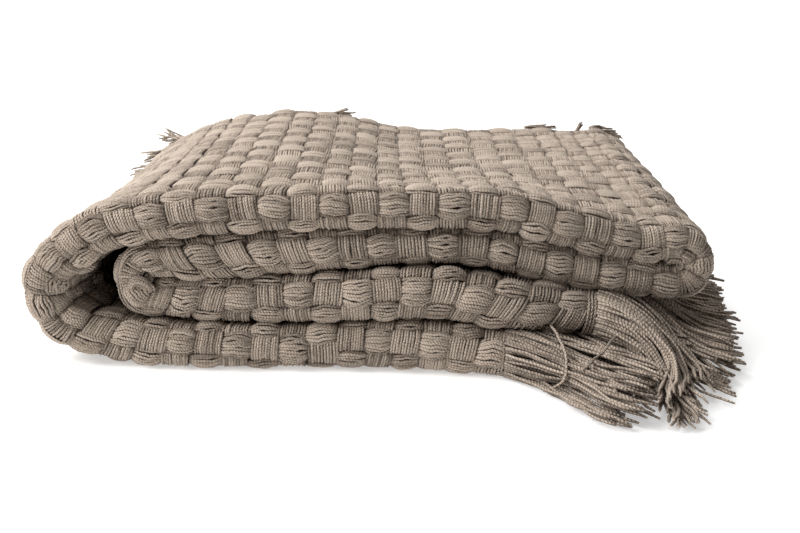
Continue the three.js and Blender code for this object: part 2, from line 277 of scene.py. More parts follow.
class SmoothLine:
    """A natural cubic spline through rows of values at rising knots."""

    def __init__(self, knots: np.ndarray, values: np.ndarray) -> None:
        """Solves the spline.

        Args:
            knots: Rising numbers, one for each row.
            values: The rows, as an array of (knots, columns).
        """
        self.knots, self.values = knots, values
        count, gaps = len(knots), np.diff(knots)
        matrix, right = np.eye(count), np.zeros_like(values)
        for i in range(1, count - 1):
            matrix[i, i - 1 : i + 2] = gaps[i - 1], 2 * (gaps[i - 1] + gaps[i]), gaps[i]
            rise = (values[i + 1] - values[i]) / gaps[i]
            right[i] = 6 * (rise - (values[i] - values[i - 1]) / gaps[i - 1])
        self.bends = np.linalg.solve(matrix, right)

    def at(self, place: np.ndarray) -> tuple[np.ndarray, np.ndarray]:
        """Values and slopes of the line.

        Args:
            place: Where along the knots, as an array of any shape.

        Returns:
            Two arrays with a last axis of one number for each column.
        """
        i = np.clip(np.searchsorted(self.knots, place) - 1, 0, len(self.knots) - 2)
        gap = (self.knots[i + 1] - self.knots[i])[..., None]
        b = np.clip((place - self.knots[i])[..., None] / gap, -0.5, 1.5)
        a = 1 - b
        low, high = self.values[i], self.values[i + 1]
        bend_low, bend_high = self.bends[i] * gap**2 / 6, self.bends[i + 1] * gap**2 / 6
        value = a * low + b * high + (a**3 - a) * bend_low + (b**3 - b) * bend_high
        slope = high - low - (3 * a**2 - 1) * bend_low + (3 * b**2 - 1) * bend_high
        return value, slope / gap


def unit(vectors: np.ndarray) -> np.ndarray:
    """The vectors at length one."""
    return vectors / np.maximum(np.linalg.norm(vectors, axis=-1, keepdims=True), 1e-12)


def depth_gone(share: np.ndarray) -> np.ndarray:
    """How far the pile has gone from its front line to its back line at shares of its depth."""
    return 1 - (1 - np.clip(share, 0, 1)) ** DEPTH_POWER


@dataclass
class Spot:
    """Where the strip is at a place along its path and a share of its depth."""

    middle: np.ndarray
    along: np.ndarray
    normal: np.ndarray
    front: np.ndarray
    depth: np.ndarray
    fold: np.ndarray
    half: np.ndarray


class FoldedStrip:
    """The strip's path, with coordinates along it and across it."""

    SAMPLES = 3000
    LEAN_REACH = 20 * MM

    def __init__(self) -> None:
        """Makes the smooth path and counts the columns of the weave along it."""
        rows = [station.values() for stretch in Stretch for station in STRIP[stretch]]
        values = np.array(rows)
        steps = np.linalg.norm(np.diff(values[:, :2], axis=0), axis=1)
        steps += np.linalg.norm(np.diff(values[:, 4:6], axis=0), axis=1)
        self.line = SmoothLine(np.concatenate([[0], np.cumsum(steps / 2)]), values)
        self.length = float(self.line.knots[-1])
        self.ends = self._ends()
        self.place = np.linspace(0, self.length, self.SAMPLES)
        self._count_columns()

    def _ends(self) -> dict[Stretch, tuple[float, float]]:
        """The first and last place of each stretch."""
        found, first = {}, 0
        for stretch in Stretch:
            last = first + len(STRIP[stretch]) - 1
            found[stretch] = (self.line.knots[first], self.line.knots[last])
            first = last + 1
        return found

    def _count_columns(self) -> None:
        """Ties the count of column pairs to places along the path."""
        middle = self.line.at(self.place)[0]
        places, pairs = [], []
        for anchor in ANCHORS:
            miss = np.hypot(middle[:, 0] - anchor.x * MM, middle[:, 1] - anchor.z * MM)
            places.append(self.place[int(np.argmin(miss))])
            pairs.append(anchor.pairs + anchor.lean * self.slant(anchor.across * MM) / PAIR)
        self.pairs = np.interp(self.place, places, pairs)
        self.pairs += np.minimum(self.place - places[0], 0) / PAIR
        self.pairs += np.maximum(self.place - places[-1], 0) / PAIR
        drifts = [anchor.across * MM - anchor.row * ROW for anchor in ANCHORS]
        self.drift = np.interp(self.place, places, drifts)
        self.lean = np.interp(self.place, places, [anchor.lean for anchor in ANCHORS])

    def slant(self, across: np.ndarray | float) -> np.ndarray | float:
        """How far a full lean moves the weave along the path, away from the front fold's nose."""
        return self.LEAN_REACH * np.tanh(across / self.LEAN_REACH)

    def spot(self, place: np.ndarray, share: np.ndarray) -> Spot:
        """The strip's middle and its directions.

        Args:
            place: Where along the path, in metres.
            share: The share of the depth, from 0 at the front fold to 1 at the back edges.

        Returns:
            The spot, with vectors in three dimensions.
        """
        value, slope = self.line.at(place)
        gone = depth_gone(share)
        flat = value[..., 0:2] + (value[..., 4:6] - value[..., 0:2]) * gone[..., None]
        way = unit(slope[..., 0:2] + (slope[..., 4:6] - slope[..., 0:2]) * gone[..., None])
        nothing = np.zeros_like(gone)
        front = FRONT_Y + value[..., 3]
        return Spot(
            middle=np.stack([flat[..., 0], nothing, flat[..., 1]], -1),
            along=np.stack([way[..., 0], nothing, way[..., 1]], -1),
            normal=np.stack([-way[..., 1], nothing, way[..., 0]], -1),
            front=front,
            depth=BACK_Y + value[..., 6] - front,
            fold=value[..., 2],
            half=value[..., 2] + (BACK_FOLD - value[..., 2]) * gone,
        )

    def face(
        self, place: np.ndarray, across: np.ndarray, height: np.ndarray | float
    ) -> tuple[np.ndarray, np.ndarray]:
        """Points on the outside of the strip, round its front fold.

        Args:
            place: Where along the path, in metres.
            across: How far from the nose of the front fold, positive on the first sheet.
            height: How far outside the strip's own face.

        Returns:
            The points, and the directions that face out there.
        """
        value, _ = self.line.at(place)
        fold = value[..., 2]
        quarter = fold * math.pi / 2
        beyond = np.maximum(np.abs(across) - quarter, 0)
        depth = BACK_Y + value[..., 6] - FRONT_Y - value[..., 3]
        spot = self.spot(place, beyond / depth)
        angle = np.clip(across / fold, -math.pi / 2, math.pi / 2)
        out = spot.normal * np.sin(angle)[..., None]
        out[..., 1] -= np.cos(angle)
        point = spot.middle + out * (spot.half + height)[..., None]
        point[..., 1] += spot.front + beyond
        return point, out

    def edge(self, place: np.ndarray, level: float, back: float = 0.0) -> np.ndarray:
        """Points on a long edge of the cloth, at the back.

        Args:
            place: Where along the path, in metres.
            level: The sheet, in pitches from the strip's middle.
            back: A shift towards the back.

        Returns:
            The points.
        """
        spot = self.spot(place, np.ones(len(place)))
        pitch = (spot.half - SHEET / 2) / OUTER_SHEET
        point = spot.middle + spot.normal * (pitch * level)[:, None]
        point[:, 1] += spot.front + spot.depth + back
        return point

    def across_cloth(self, place: float, spacing: float) -> tuple[np.ndarray, np.ndarray, np.ndarray]:
        """Points across the whole flat width of the cloth, through all its folds.

        Args:
            place: Where along the path, in metres.
            spacing: The distance between the points.

        Returns:
            The points from one long edge to the other, their shares of the depth, and the sheets
            that they lie in, in pitches from the strip's middle.
        """
        front = self.spot(np.array([place]), np.zeros(1))
        pitch = float(front.half[0] - SHEET / 2) / OUTER_SHEET
        back_pitch = (BACK_FOLD - SHEET / 2) / OUTER_SHEET
        depth = float(front.depth[0])
        turns = (OUTER_SHEET * pitch, INNER_SHEET * back_pitch, INNER_SHEET * pitch)
        lengths = [depth]
        for turn in turns:
            lengths += [math.pi * turn, depth]
        starts = np.concatenate([[0], np.cumsum(lengths)])
        run = np.arange(spacing / 2, starts[-1], spacing)
        leg = np.clip(np.searchsorted(starts, run) - 1, 0, len(lengths) - 1)
        part = (run - starts[leg]) / np.array(lengths)[leg]
        angle = part * math.pi
        cos, sin, none = np.cos(angle), np.sin(angle), np.zeros_like(part)
        share = np.choose(leg, [1 - part, none, part, none + 1, 1 - part, none, part])
        levels = [OUTER_SHEET, OUTER_SHEET * cos, -OUTER_SHEET, -1 - 0.5 * cos]
        levels += [-INNER_SHEET, -INNER_SHEET * cos, INNER_SHEET]
        level = np.choose(leg, [none + value for value in levels])
        nose = np.choose(leg, [none, -OUTER_SHEET * sin, none, 0.5 * sin, none, -INNER_SHEET * sin, none])
        spot = self.spot(np.full(len(run), place), share)
        own = (spot.half - SHEET / 2) / OUTER_SHEET
        points = spot.middle + spot.normal * (own * level)[:, None]
        points[:, 1] += spot.front + spot.depth * share + own * nose
        return points, share, level

    def place_of(self, pairs: np.ndarray) -> np.ndarray:
        """Where along the path a count of column pairs lies."""
        return np.interp(pairs, self.pairs, self.place)


class MeshParts:
    """Vertices and quads that are gathered into one mesh, with yarn coordinates."""

    def __init__(self) -> None:
        """Starts with nothing."""
        self.points: list[np.ndarray] = []
        self.quads: list[np.ndarray] = []
        self.coords: list[np.ndarray] = []
        self.tones: list[np.ndarray] = []
        self.count = 0

    def add(self, points: np.ndarray, quads: np.ndarray, coords: np.ndarray, tones: np.ndarray) -> None:
        """Adds a set of quads.

        Args:
            points: The vertices, (n, 3).
            quads: Vertex numbers, (m, 4).
            coords: Two texture coordinates for each corner of each quad, (m, 4, 2).
            tones: The tone of each vertex, (n,).
        """
        self.points.append(points)
        self.quads.append(quads + self.count)
        self.coords.append(coords)
        self.tones.append(tones)
        self.count += len(points)

    def to_object(self, name: str) -> bpy.types.Object:
        """Makes the mesh and its object.

        Args:
            name: The piece's name.

        Returns:
            The object, linked into the scene.
        """
        points, quads = np.concatenate(self.points), np.concatenate(self.quads)
        mesh = bpy.data.meshes.new(name)
        mesh.vertices.add(len(points))
        mesh.vertices.foreach_set("co", points.astype(np.float32).ravel())
        mesh.loops.add(quads.size)
        mesh.loops.foreach_set("vertex_index", quads.astype(np.int32).ravel())
        mesh.polygons.add(len(quads))
        mesh.polygons.foreach_set("loop_start", np.arange(0, quads.size, 4, dtype=np.int32))
        mesh.polygons.foreach_set("use_smooth", np.ones(len(quads), bool))
        layer = mesh.uv_layers.new(name="yarn")
        layer.uv.foreach_set("vector", np.concatenate(self.coords).astype(np.float32).ravel())
        tone = mesh.attributes.new("tone", "FLOAT", "POINT")
        tone.data.foreach_set("value", np.concatenate(self.tones).astype(np.float32))
        mesh.update(calc_edges=True)
        piece = bpy.data.objects.new(name, mesh)
        bpy.context.scene.collection.objects.link(piece)
        return piece


@dataclass
class Tubes:
    """Many round yarns with the same number of points.

    lines is (yarns, points, 3), radius holds a number for each yarn, tone one for each point, and
    up is a direction for each point that the crest of the yarn faces. taper is the share of the
    radius that is left at the last point.
    """

    lines: np.ndarray
    radius: np.ndarray
    tone: np.ndarray
    up: np.ndarray
    taper: float = 1.0

    SIDES = 4
    # How far the next yarn starts along the pattern of its plies, in millimetres
    PATTERN_SHIFT = 7.3
    # Where the ends of a yarn read the pattern round it, between crest and groove
    END_COORD = 0.25

    def add_to(self, parts: MeshParts) -> None:
        """Adds closed tubes along the lines.

        Args:
            parts: What they are added to.
        """
        yarns, points, _ = self.lines.shape
        way = unit(np.gradient(self.lines, axis=1))
        side = unit(np.cross(way, self.up))
        up = np.cross(side, way)
        angle = 2 * math.pi * np.arange(self.SIDES) / self.SIDES
        size = np.ones(points)
        size[-1] = self.taper
        radius = self.radius[:, None, None, None] * size[None, :, None, None]
        ring = side[:, :, None] * np.cos(angle)[None, None, :, None]
        ring = ring + up[:, :, None] * np.sin(angle)[None, None, :, None]
        vertices = (self.lines[:, :, None] + ring * radius).reshape(-1, 3)
        index = np.arange(yarns * points * self.SIDES).reshape(yarns, points, self.SIDES)
        step = np.roll(index, -1, axis=2)
        walls = np.stack([index[:, :-1], step[:, :-1], step[:, 1:], index[:, 1:]], -1)
        length = np.linalg.norm(np.diff(self.lines, axis=1), axis=2).cumsum(axis=1)
        length = np.concatenate([np.zeros((yarns, 1)), length], axis=1) / MM
        length += self.PATTERN_SHIFT * np.arange(yarns)[:, None]
        coords = np.zeros(walls.shape + (2,))
        around = np.arange(self.SIDES) / self.SIDES
        coords[..., (0, 3), 0] = around[None, None, :, None]
        coords[..., (1, 2), 0] = around[None, None, :, None] + 1 / self.SIDES
        coords[..., (0, 1), 1] = length[:, :-1, None, None]
        coords[..., (2, 3), 1] = length[:, 1:, None, None]
        caps = np.concatenate([index[:, -1], index[:, 0, ::-1]])
        quads = np.concatenate([walls.reshape(-1, 4), caps])
        flat = np.full((len(caps), self.SIDES, 2), self.END_COORD)
        coords = np.concatenate([coords.reshape(-1, 4, 2), flat])
        parts.add(vertices, quads, coords, np.repeat(self.tone.ravel(), self.SIDES))


@dataclass(frozen=True)
class Block:
    """The shape of the yarns that go over in one block of the weave, in metres.

    top is the height of the block's crown over the strip's face, dive that of its ends, and slump
    how much lower its outer yarns lie. power is how suddenly its yarns dive. pinch is the share by
    which its ends are narrower, and bow, wave, ripple and stray are how far its yarns bend, sway,
    crinkle and stray to the side.
    """

    length: float
    width: float
    yarns: int
    radius: float
    top: float
    dive: float
    pinch: float
    slump: float
    power: float
    bow: float
    wave: float
    ripple: float
    stray: float


ACROSS = Block(
    length=20.5 * MM, width=16.8 * MM, yarns=10, radius=1.07 * MM, top=0.6 * MM, dive=-3.4 * MM,
    pinch=0.02, slump=0.45 * MM, power=5.0, bow=0.25 * MM, wave=0.12 * MM, ripple=0.08 * MM, stray=0.1 * MM,
)
ALONG = Block(
    length=23.5 * MM, width=17.4 * MM, yarns=10, radius=1.25 * MM, top=1.7 * MM, dive=-3.2 * MM,
    pinch=0.34, slump=1.7 * MM, power=2.8, bow=0.8 * MM, wave=0.5 * MM, ripple=0.34 * MM, stray=0.17 * MM,
)


@dataclass
class WeavePatch:
    """The blocks of the weave on a part of the strip's outside.

    pairs is the range along the path in column pairs, and rows the range of rows across it. calm
    is the share of a block's height that is left where the cloth lies pulled flat.
    """

    name: str
    pairs: tuple[float, float]
    rows: tuple[int, int]
    points: int = 8
    calm: float = 1.0

    # Where the second column of a pair lies, as a share of the pair, and how far the blocks that go
    # along it shift into the wider gap
    GAP_SHARE = 0.455
    GAP_STEP = 1.4 * MM
    # How high the middle of a yarn stays over the floor, and how far blocks stay from the long edges
    FLOOR = 1.5 * MM
    EDGE = 6 * MM
    # The share of the dive that is left where the cloth lies pulled flat
    CALM_DIVE = 0.45
    # How much the blocks differ from each other: as shares of their size, and as a slope
    BLOCK_TILT = 0.06
    BLOCK_PINCH = 0.3
    PINCH_RANGE = (0.3, 1.6)
    BLOCK_WIDTH = 0.05
    BLOCK_LENGTH = 0.04
    BLOCK_CROWN = 0.2
    # How much the yarns of a block differ
    YARN_START = 0.25 * MM
    YARN_CROWN = 0.22 * MM
    YARN_RADIUS = 0.06
    POINT_STRAY = 0.08 * MM
    # The phases of sway and crinkle, in radians, and how they go on over half a block
    BLOCK_PHASE = 2.0
    YARN_PHASE = 0.5
    SWAY = 3.4
    CRINKLE = 8.5
    # The tone of a crown, how much blocks and yarns differ, and how much painted shade darkens a block's
    # ends and sides
    TONE = 0.66
    BLOCK_TONE = 0.12
    YARN_TONE = 0.16
    END_SHADE = 0.55
    SIDE_SHADE = 0.3

    def build(self, strip: FoldedStrip, rng: np.random.Generator) -> bpy.types.Object:
        """Makes the yarns of the patch.

        Args:
            strip: The path that they lie on.
            rng: The source of their unevenness.

        Returns:
            The piece.
        """
        parts = MeshParts()
        across, along = self._cells(strip)
        self._yarns(parts, strip, rng, across, ACROSS, turned=False)
        self._yarns(parts, strip, rng, along, ALONG, turned=True)
        return parts.to_object(self.name)

    def _cells(self, strip: FoldedStrip) -> tuple[np.ndarray, np.ndarray]:
        """Centres of the blocks that go across and of those that go along.

        Args:
            strip: The path that they lie on.

        Returns:
            Two arrays with rows of pairs, row and the side on which the gap lies.
        """
        found: tuple[list, list] = ([], [])
        for row in range(self.rows[0], self.rows[1] + 1):
            for pair in range(math.floor(self.pairs[0]) - 1, math.ceil(self.pairs[1]) + 1):
                for column in (0, 1):
                    centre = pair + column * self.GAP_SHARE
                    if not self.pairs[0] <= centre < self.pairs[1]:
                        continue
                    place = strip.place_of(centre)
                    across = row * ROW + np.interp(place, strip.place, strip.drift)
                    spot = strip.spot(np.array([place]), np.zeros(1))
                    if abs(across) > spot.depth[0] + spot.fold[0] * math.pi / 2 - self.EDGE:
                        continue
                    found[(row + column) % 2].append((centre, row, 1.0 if column else -1.0))
        return np.array(found[0]), np.array(found[1])

    def _yarns(
        self,
        parts: MeshParts,
        strip: FoldedStrip,
        rng: np.random.Generator,
        cells: np.ndarray,
        block: Block,
        turned: bool,
    ) -> None:
        """Adds the yarns of all blocks of one kind.

        Args:
            parts: What they are added to.
            strip: The path that they lie on.
            rng: The source of their unevenness.
            cells: The blocks, as rows of pairs, row and the side of the gap.
            block: Their shape.
            turned: Whether the yarns run along the path.
        """
        if not len(cells):
            return
        shape = (len(cells), block.yarns, self.points)
        a = np.linspace(-1, 1, self.points)[None, None, :]
        b = np.linspace(-1, 1, block.yarns)[None, :, None]

        def uneven(size: float, *axes: int) -> np.ndarray:
            """Random values that differ along the named axes and are shared along the others."""
            return rng.normal(0, size, [shape[k] if k in axes else 1 for k in range(3)])

        tilt = uneven(self.BLOCK_TILT, 0)
        pinch = block.pinch * np.clip(1 + uneven(self.BLOCK_PINCH, 0), *self.PINCH_RANGE)
        end = np.abs(a) ** block.power
        side = b * block.width / 2 * (1 + uneven(self.BLOCK_WIDTH, 0)) * (1 - pinch * np.abs(a) ** 2)
        side = side + uneven(block.bow, 0) * (1 - a**2) + tilt * a * block.length / 2
        phase = uneven(self.BLOCK_PHASE, 0) + uneven(self.YARN_PHASE, 0, 1)
        side = side + block.wave * np.sin(self.SWAY * a + phase) + uneven(block.stray, 0, 1)
        side = side + block.ripple * np.sin(self.CRINKLE * a + 2 * phase) * (1 - a**2)
        side = side + uneven(self.POINT_STRAY, 0, 1, 2)
        run = a * block.length / 2 * (1 + uneven(self.BLOCK_LENGTH, 0)) - tilt * b * block.width / 2
        run = run + uneven(self.YARN_START, 0, 1)
        crown = block.top * (1 + uneven(self.BLOCK_CROWN, 0)) - block.slump * b**2
        crown = crown + uneven(self.YARN_CROWN, 0, 1)
        dive = block.dive * (self.CALM_DIVE + (1 - self.CALM_DIVE) * self.calm)
        height = crown * self.calm * (1 - end) + dive * end
        if turned:
            along, across = run + cells[:, 2, None, None] * self.GAP_STEP, side
        else:
            along, across = side, run
        pairs = np.broadcast_to(cells[:, 0, None, None], shape)
        rough = strip.place_of(pairs)
        across = cells[:, 1, None, None] * ROW + np.interp(rough, strip.place, strip.drift) + across
        lean = np.interp(rough, strip.place, strip.lean)
        place = strip.place_of(pairs + (along + lean * strip.slant(across)) / PAIR)
        lines, up = strip.face(place, across, np.broadcast_to(height, shape))
        lines[..., 2] = np.maximum(lines[..., 2], self.FLOOR)
        yarns = len(cells) * block.yarns
        tone = self.TONE + uneven(self.BLOCK_TONE, 0) + uneven(self.YARN_TONE, 0, 1)
        # Painted shade: yarns darken towards their diving ends and at the block's outer sides, where the
        # gaps between blocks lie
        tone = tone - self.END_SHADE * np.abs(a) ** 4 - self.SIDE_SHADE * b**6
        radius = block.radius * (1 + uneven(self.YARN_RADIUS, 0, 1))
        Tubes(
            lines.reshape(yarns, self.points, 3),
            np.broadcast_to(radius, (*shape[:2], 1)).reshape(-1),
            np.clip(tone, 0, 1),
            up.reshape(yarns, self.points, 3),
        ).add_to(parts)


@dataclass
class ClothCore:
    """The sheet itself, doubly folded and laid back and forth, under its yarns.

    sunk is how far its outer face lies under the yarns, and floor how high its lowest points stay.
    """

    name: str = "folded_sheet"
    steps_along: int = 160
    steps_deep: int = 12
    steps_fold: int = 10
    sunk: float = 1.7 * MM
    floor: float = 0.15 * MM

    def build(self, strip: FoldedStrip) -> bpy.types.Object:
        """Makes the closed sheet.

        Args:
            strip: The path that it follows.

        Returns:
            The piece.
        """
        place = np.linspace(0, strip.length, self.steps_along)
        outer = self._face(1)
        section = outer + self._face(-1)[::-1]
        count = len(section)
        share = np.array([spot[0] for spot in section])
        pitches = np.array([spot[1] for spot in section])
        fixed = np.array([spot[2] for spot in section])
        spot = strip.spot(np.repeat(place, count), np.tile(share, len(place)))
        pitch = (spot.half - SHEET / 2) / OUTER_SHEET
        turns, own = np.tile(pitches, (len(place), 1)), np.tile(fixed, (len(place), 1))
        off = pitch * turns[:, 1] + own[:, 1]
        points = spot.middle + spot.normal * off[:, None]
        points[:, 1] += spot.front + spot.depth * np.tile(share, len(place))
        points[:, 1] += pitch * turns[:, 0] + own[:, 0]
        points[:, 2] = np.maximum(points[:, 2], self.floor)
        return self._mesh(points, len(place), count, place, strip)

    def _face(self, side: int) -> list[tuple[float, tuple[float, float], tuple[float, float]]]:
        """One face of the sheet across the strip.

        Args:
            side: 1 for the face that lies outside on the top sheet, and -1 for the other.

        Returns:
            Rows of the depth share, the shifts in pitches and the shifts in metres.
        """
        half = SHEET / 2
        outside = half - self.sunk if side > 0 else -half
        inside = side * half
        deep = np.linspace(0, 1, self.steps_deep)
        out, back = list(deep), list(deep[::-1])

        def run(level: float, off: float, shares: Iterable[float]) -> list:
            """A run of the face between the front and the back."""
            return [(float(share), (0.0, level), (0.0, off)) for share in shares]

        def fold(share: float, centre: float, size: float, off: float, towards: int, start: int) -> list:
            """A round fold of the face."""
            rows = []
            for step in range(1, self.steps_fold):
                angle = math.pi * step / self.steps_fold
                turn = (towards * math.sin(angle), start * math.cos(angle))
                rows.append(
                    (share, (turn[0] * size, centre + turn[1] * size), (turn[0] * off, turn[1] * off))
                )
            return rows

        return [
            *run(OUTER_SHEET, outside, back),
            *fold(0, 0, OUTER_SHEET, outside, -1, 1),
            *run(-OUTER_SHEET, -outside, out),
            *fold(1, -1, 0.5, inside, 1, -1),
            *run(-INNER_SHEET, inside, back),
            *fold(0, 0, INNER_SHEET, -inside, -1, -1),
            *run(INNER_SHEET, -inside, out),
        ]

    def _mesh(
        self, points: np.ndarray, rings: int, count: int, place: np.ndarray, strip: FoldedStrip
    ) -> bpy.types.Object:
        """Joins the rings of the sheet into a closed mesh.

        Args:
            points: All the points, ring by ring.
            rings: The number of rings.
            count: The points of one ring.
            place: Where along the path each ring lies.
            strip: The path.

        Returns:
            The piece.
        """
        index = np.arange(rings * count).reshape(rings, count)
        nxt = np.roll(index, -1, axis=1)
        walls = np.stack([index[:-1], index[1:], nxt[1:], nxt[:-1]], -1)
        pairs = np.interp(place, strip.place, strip.pairs)
        steps = np.linalg.norm(np.diff(points.reshape(rings, count, 3)[rings // 3], axis=0), axis=1)
        width = np.concatenate([[0], np.cumsum(steps)]) / ROW
        coords = np.zeros(walls.shape + (2,))
        coords[..., (0, 3), 0] = pairs[:-1, None, None]
        coords[..., (1, 2), 0] = pairs[1:, None, None]
        coords[..., (0, 1), 1] = width[None, :, None]
        coords[..., (2, 3), 1] = np.append(width[1:], width[-1] + 0.2)[None, :, None]
        half = count // 2
        ends = []
        for ring, flip in ((index[0], False), (index[-1], True)):
            low, high = ring[:half], ring[half:][::-1]
            strip_quads = np.stack([low[:-1], low[1:], high[1:], high[:-1]], -1)
            ends.append(strip_quads[:, ::-1] if flip else strip_quads)
        caps = np.concatenate(ends)
        quads = np.concatenate([walls.reshape(-1, 4), caps])
        coords = np.concatenate([coords.reshape(-1, 4, 2), np.zeros((len(caps), 4, 2))])
        parts = MeshParts()
        parts.add(points, quads, coords, np.full(len(points), 0.5))
        return parts.to_object(self.name)


def smooth(t: np.ndarray) -> np.ndarray:
    """A rise from 0 to 1 with level ends."""
    t = np.clip(t, 0, 1)
    return t * t * (3 - 2 * t)


@dataclass
class Strands:
    """Limp strands that leave their roots, turn and come down to rest.

    All arrays hold a number for each strand. start and finish are directions on the surface in
    radians, rest is the height on which the tip lies, and lock numbers the lock that a strand is in.
    fall is the share of the length in which a strand comes down. bunch is how far a lock turns to
    and fro, sway and ripple how far each strand does, all in radians.
    """

    root: np.ndarray
    length: np.ndarray
    start: np.ndarray
    finish: np.ndarray
    rest: np.ndarray
    lock: np.ndarray
    points: int = 15
    radius: float = 1.12 * MM
    fall: float = 0.85
    bunch: float = 0.2
    sway: float = 0.14
    ripple: float = 0.12

    # How much earlier than its tip a strand has its last direction
    TURN_RATE = 1.15
    # How far the phases of bunch, sway, ripple and arch go on from root to tip, in radians
    BUNCH_PHASE = 6
    SWAY_PHASE = 7
    RIPPLE_PHASE = 24
    ARCH_PHASE = 8
    ARCH = 0.9 * MM
    # How high a tip's middle lies over what it rests on, and the least height in radii
    TIP_HEIGHT = 1.0 * MM
    LEAST_HEIGHT = 1.3
    LOCK_TONE = 0.1
    OWN_TONE = 0.17
    OWN_RADIUS = 0.09
    TIP_TAPER = 0.7

    def lines(self, rng: np.random.Generator) -> np.ndarray:
        """The middle lines of the strands.

        Args:
            rng: The source of their unevenness.

        Returns:
            An array of (strands, points, 3).
        """
        count, steps = len(self.root), self.points - 1
        t = (np.arange(steps)[None, :] + 0.5) / steps
        locks = int(self.lock.max()) + 1
        shared = rng.uniform(0, 2 * math.pi, (locks, 2))[self.lock]
        own = rng.uniform(0, 2 * math.pi, (count, 2))
        one, two = own[:, 0:1], own[:, 1:2]
        heading = self.start[:, None] + (self.finish - self.start)[:, None] * smooth(t * self.TURN_RATE)
        heading = heading + self.bunch * np.sin(shared[:, 0:1] + self.BUNCH_PHASE * t) * (0.4 + t)
        heading = heading + self.sway * np.sin(one + (self.SWAY_PHASE + two) * t) * (0.5 + 0.5 * t)
        heading = heading + self.ripple * np.sin(two * 5 + (self.RIPPLE_PHASE + one) * t)
        ends = np.linspace(0, 1, self.points)[None, :]
        drop = 1 - smooth(ends / self.fall)
        rest = self.rest + self.TIP_HEIGHT
        height = rest[:, None] + (self.root[:, 2] - rest)[:, None] * drop
        height = height + self.ARCH * np.sin(two + self.ARCH_PHASE * ends) * 4 * ends * (1 - ends)
        step = self.length[:, None] / steps
        level = np.sqrt(np.maximum(step**2 - np.diff(height, axis=1) ** 2, (0.2 * step) ** 2))
        lines = np.zeros((count, self.points, 3))
        lines[:, 1:, 0] = np.cumsum(level * np.cos(heading), axis=1)
        lines[:, 1:, 1] = np.cumsum(level * np.sin(heading), axis=1)
        lines[..., :2] += self.root[:, None, :2]
        lines[..., 2] = np.maximum(height, self.LEAST_HEIGHT * self.radius)
        return lines

    def add_to(self, parts: MeshParts, rng: np.random.Generator) -> None:
        """Adds the strands as tubes.

        Args:
            parts: What they are added to.
            rng: The source of their unevenness.
        """
        count = len(self.root)
        lines = self.lines(rng)
        up = np.zeros_like(lines)
        up[..., 2], up[..., 1] = 1, -0.1
        shared = rng.normal(0, self.LOCK_TONE, int(self.lock.max()) + 1)[self.lock]
        tone = np.clip(0.5 + shared + rng.normal(0, self.OWN_TONE, count), 0, 1)
        tone = np.repeat(tone[:, None], self.points, axis=1)
        radius = self.radius * (1 + self.OWN_RADIUS * rng.normal(0, 1, count))
        Tubes(lines, radius, tone, up, taper=self.TIP_TAPER).add_to(parts)


@dataclass(frozen=True)
class Spread:
    """How much whole locks differ from each other, and each strand from its lock."""

    lock: float
    own: float

    def of(self, shared: np.ndarray, own: np.ndarray) -> np.ndarray:
        """The differences, from standard normal values for the locks and the strands."""
        return self.lock * shared + self.own * own


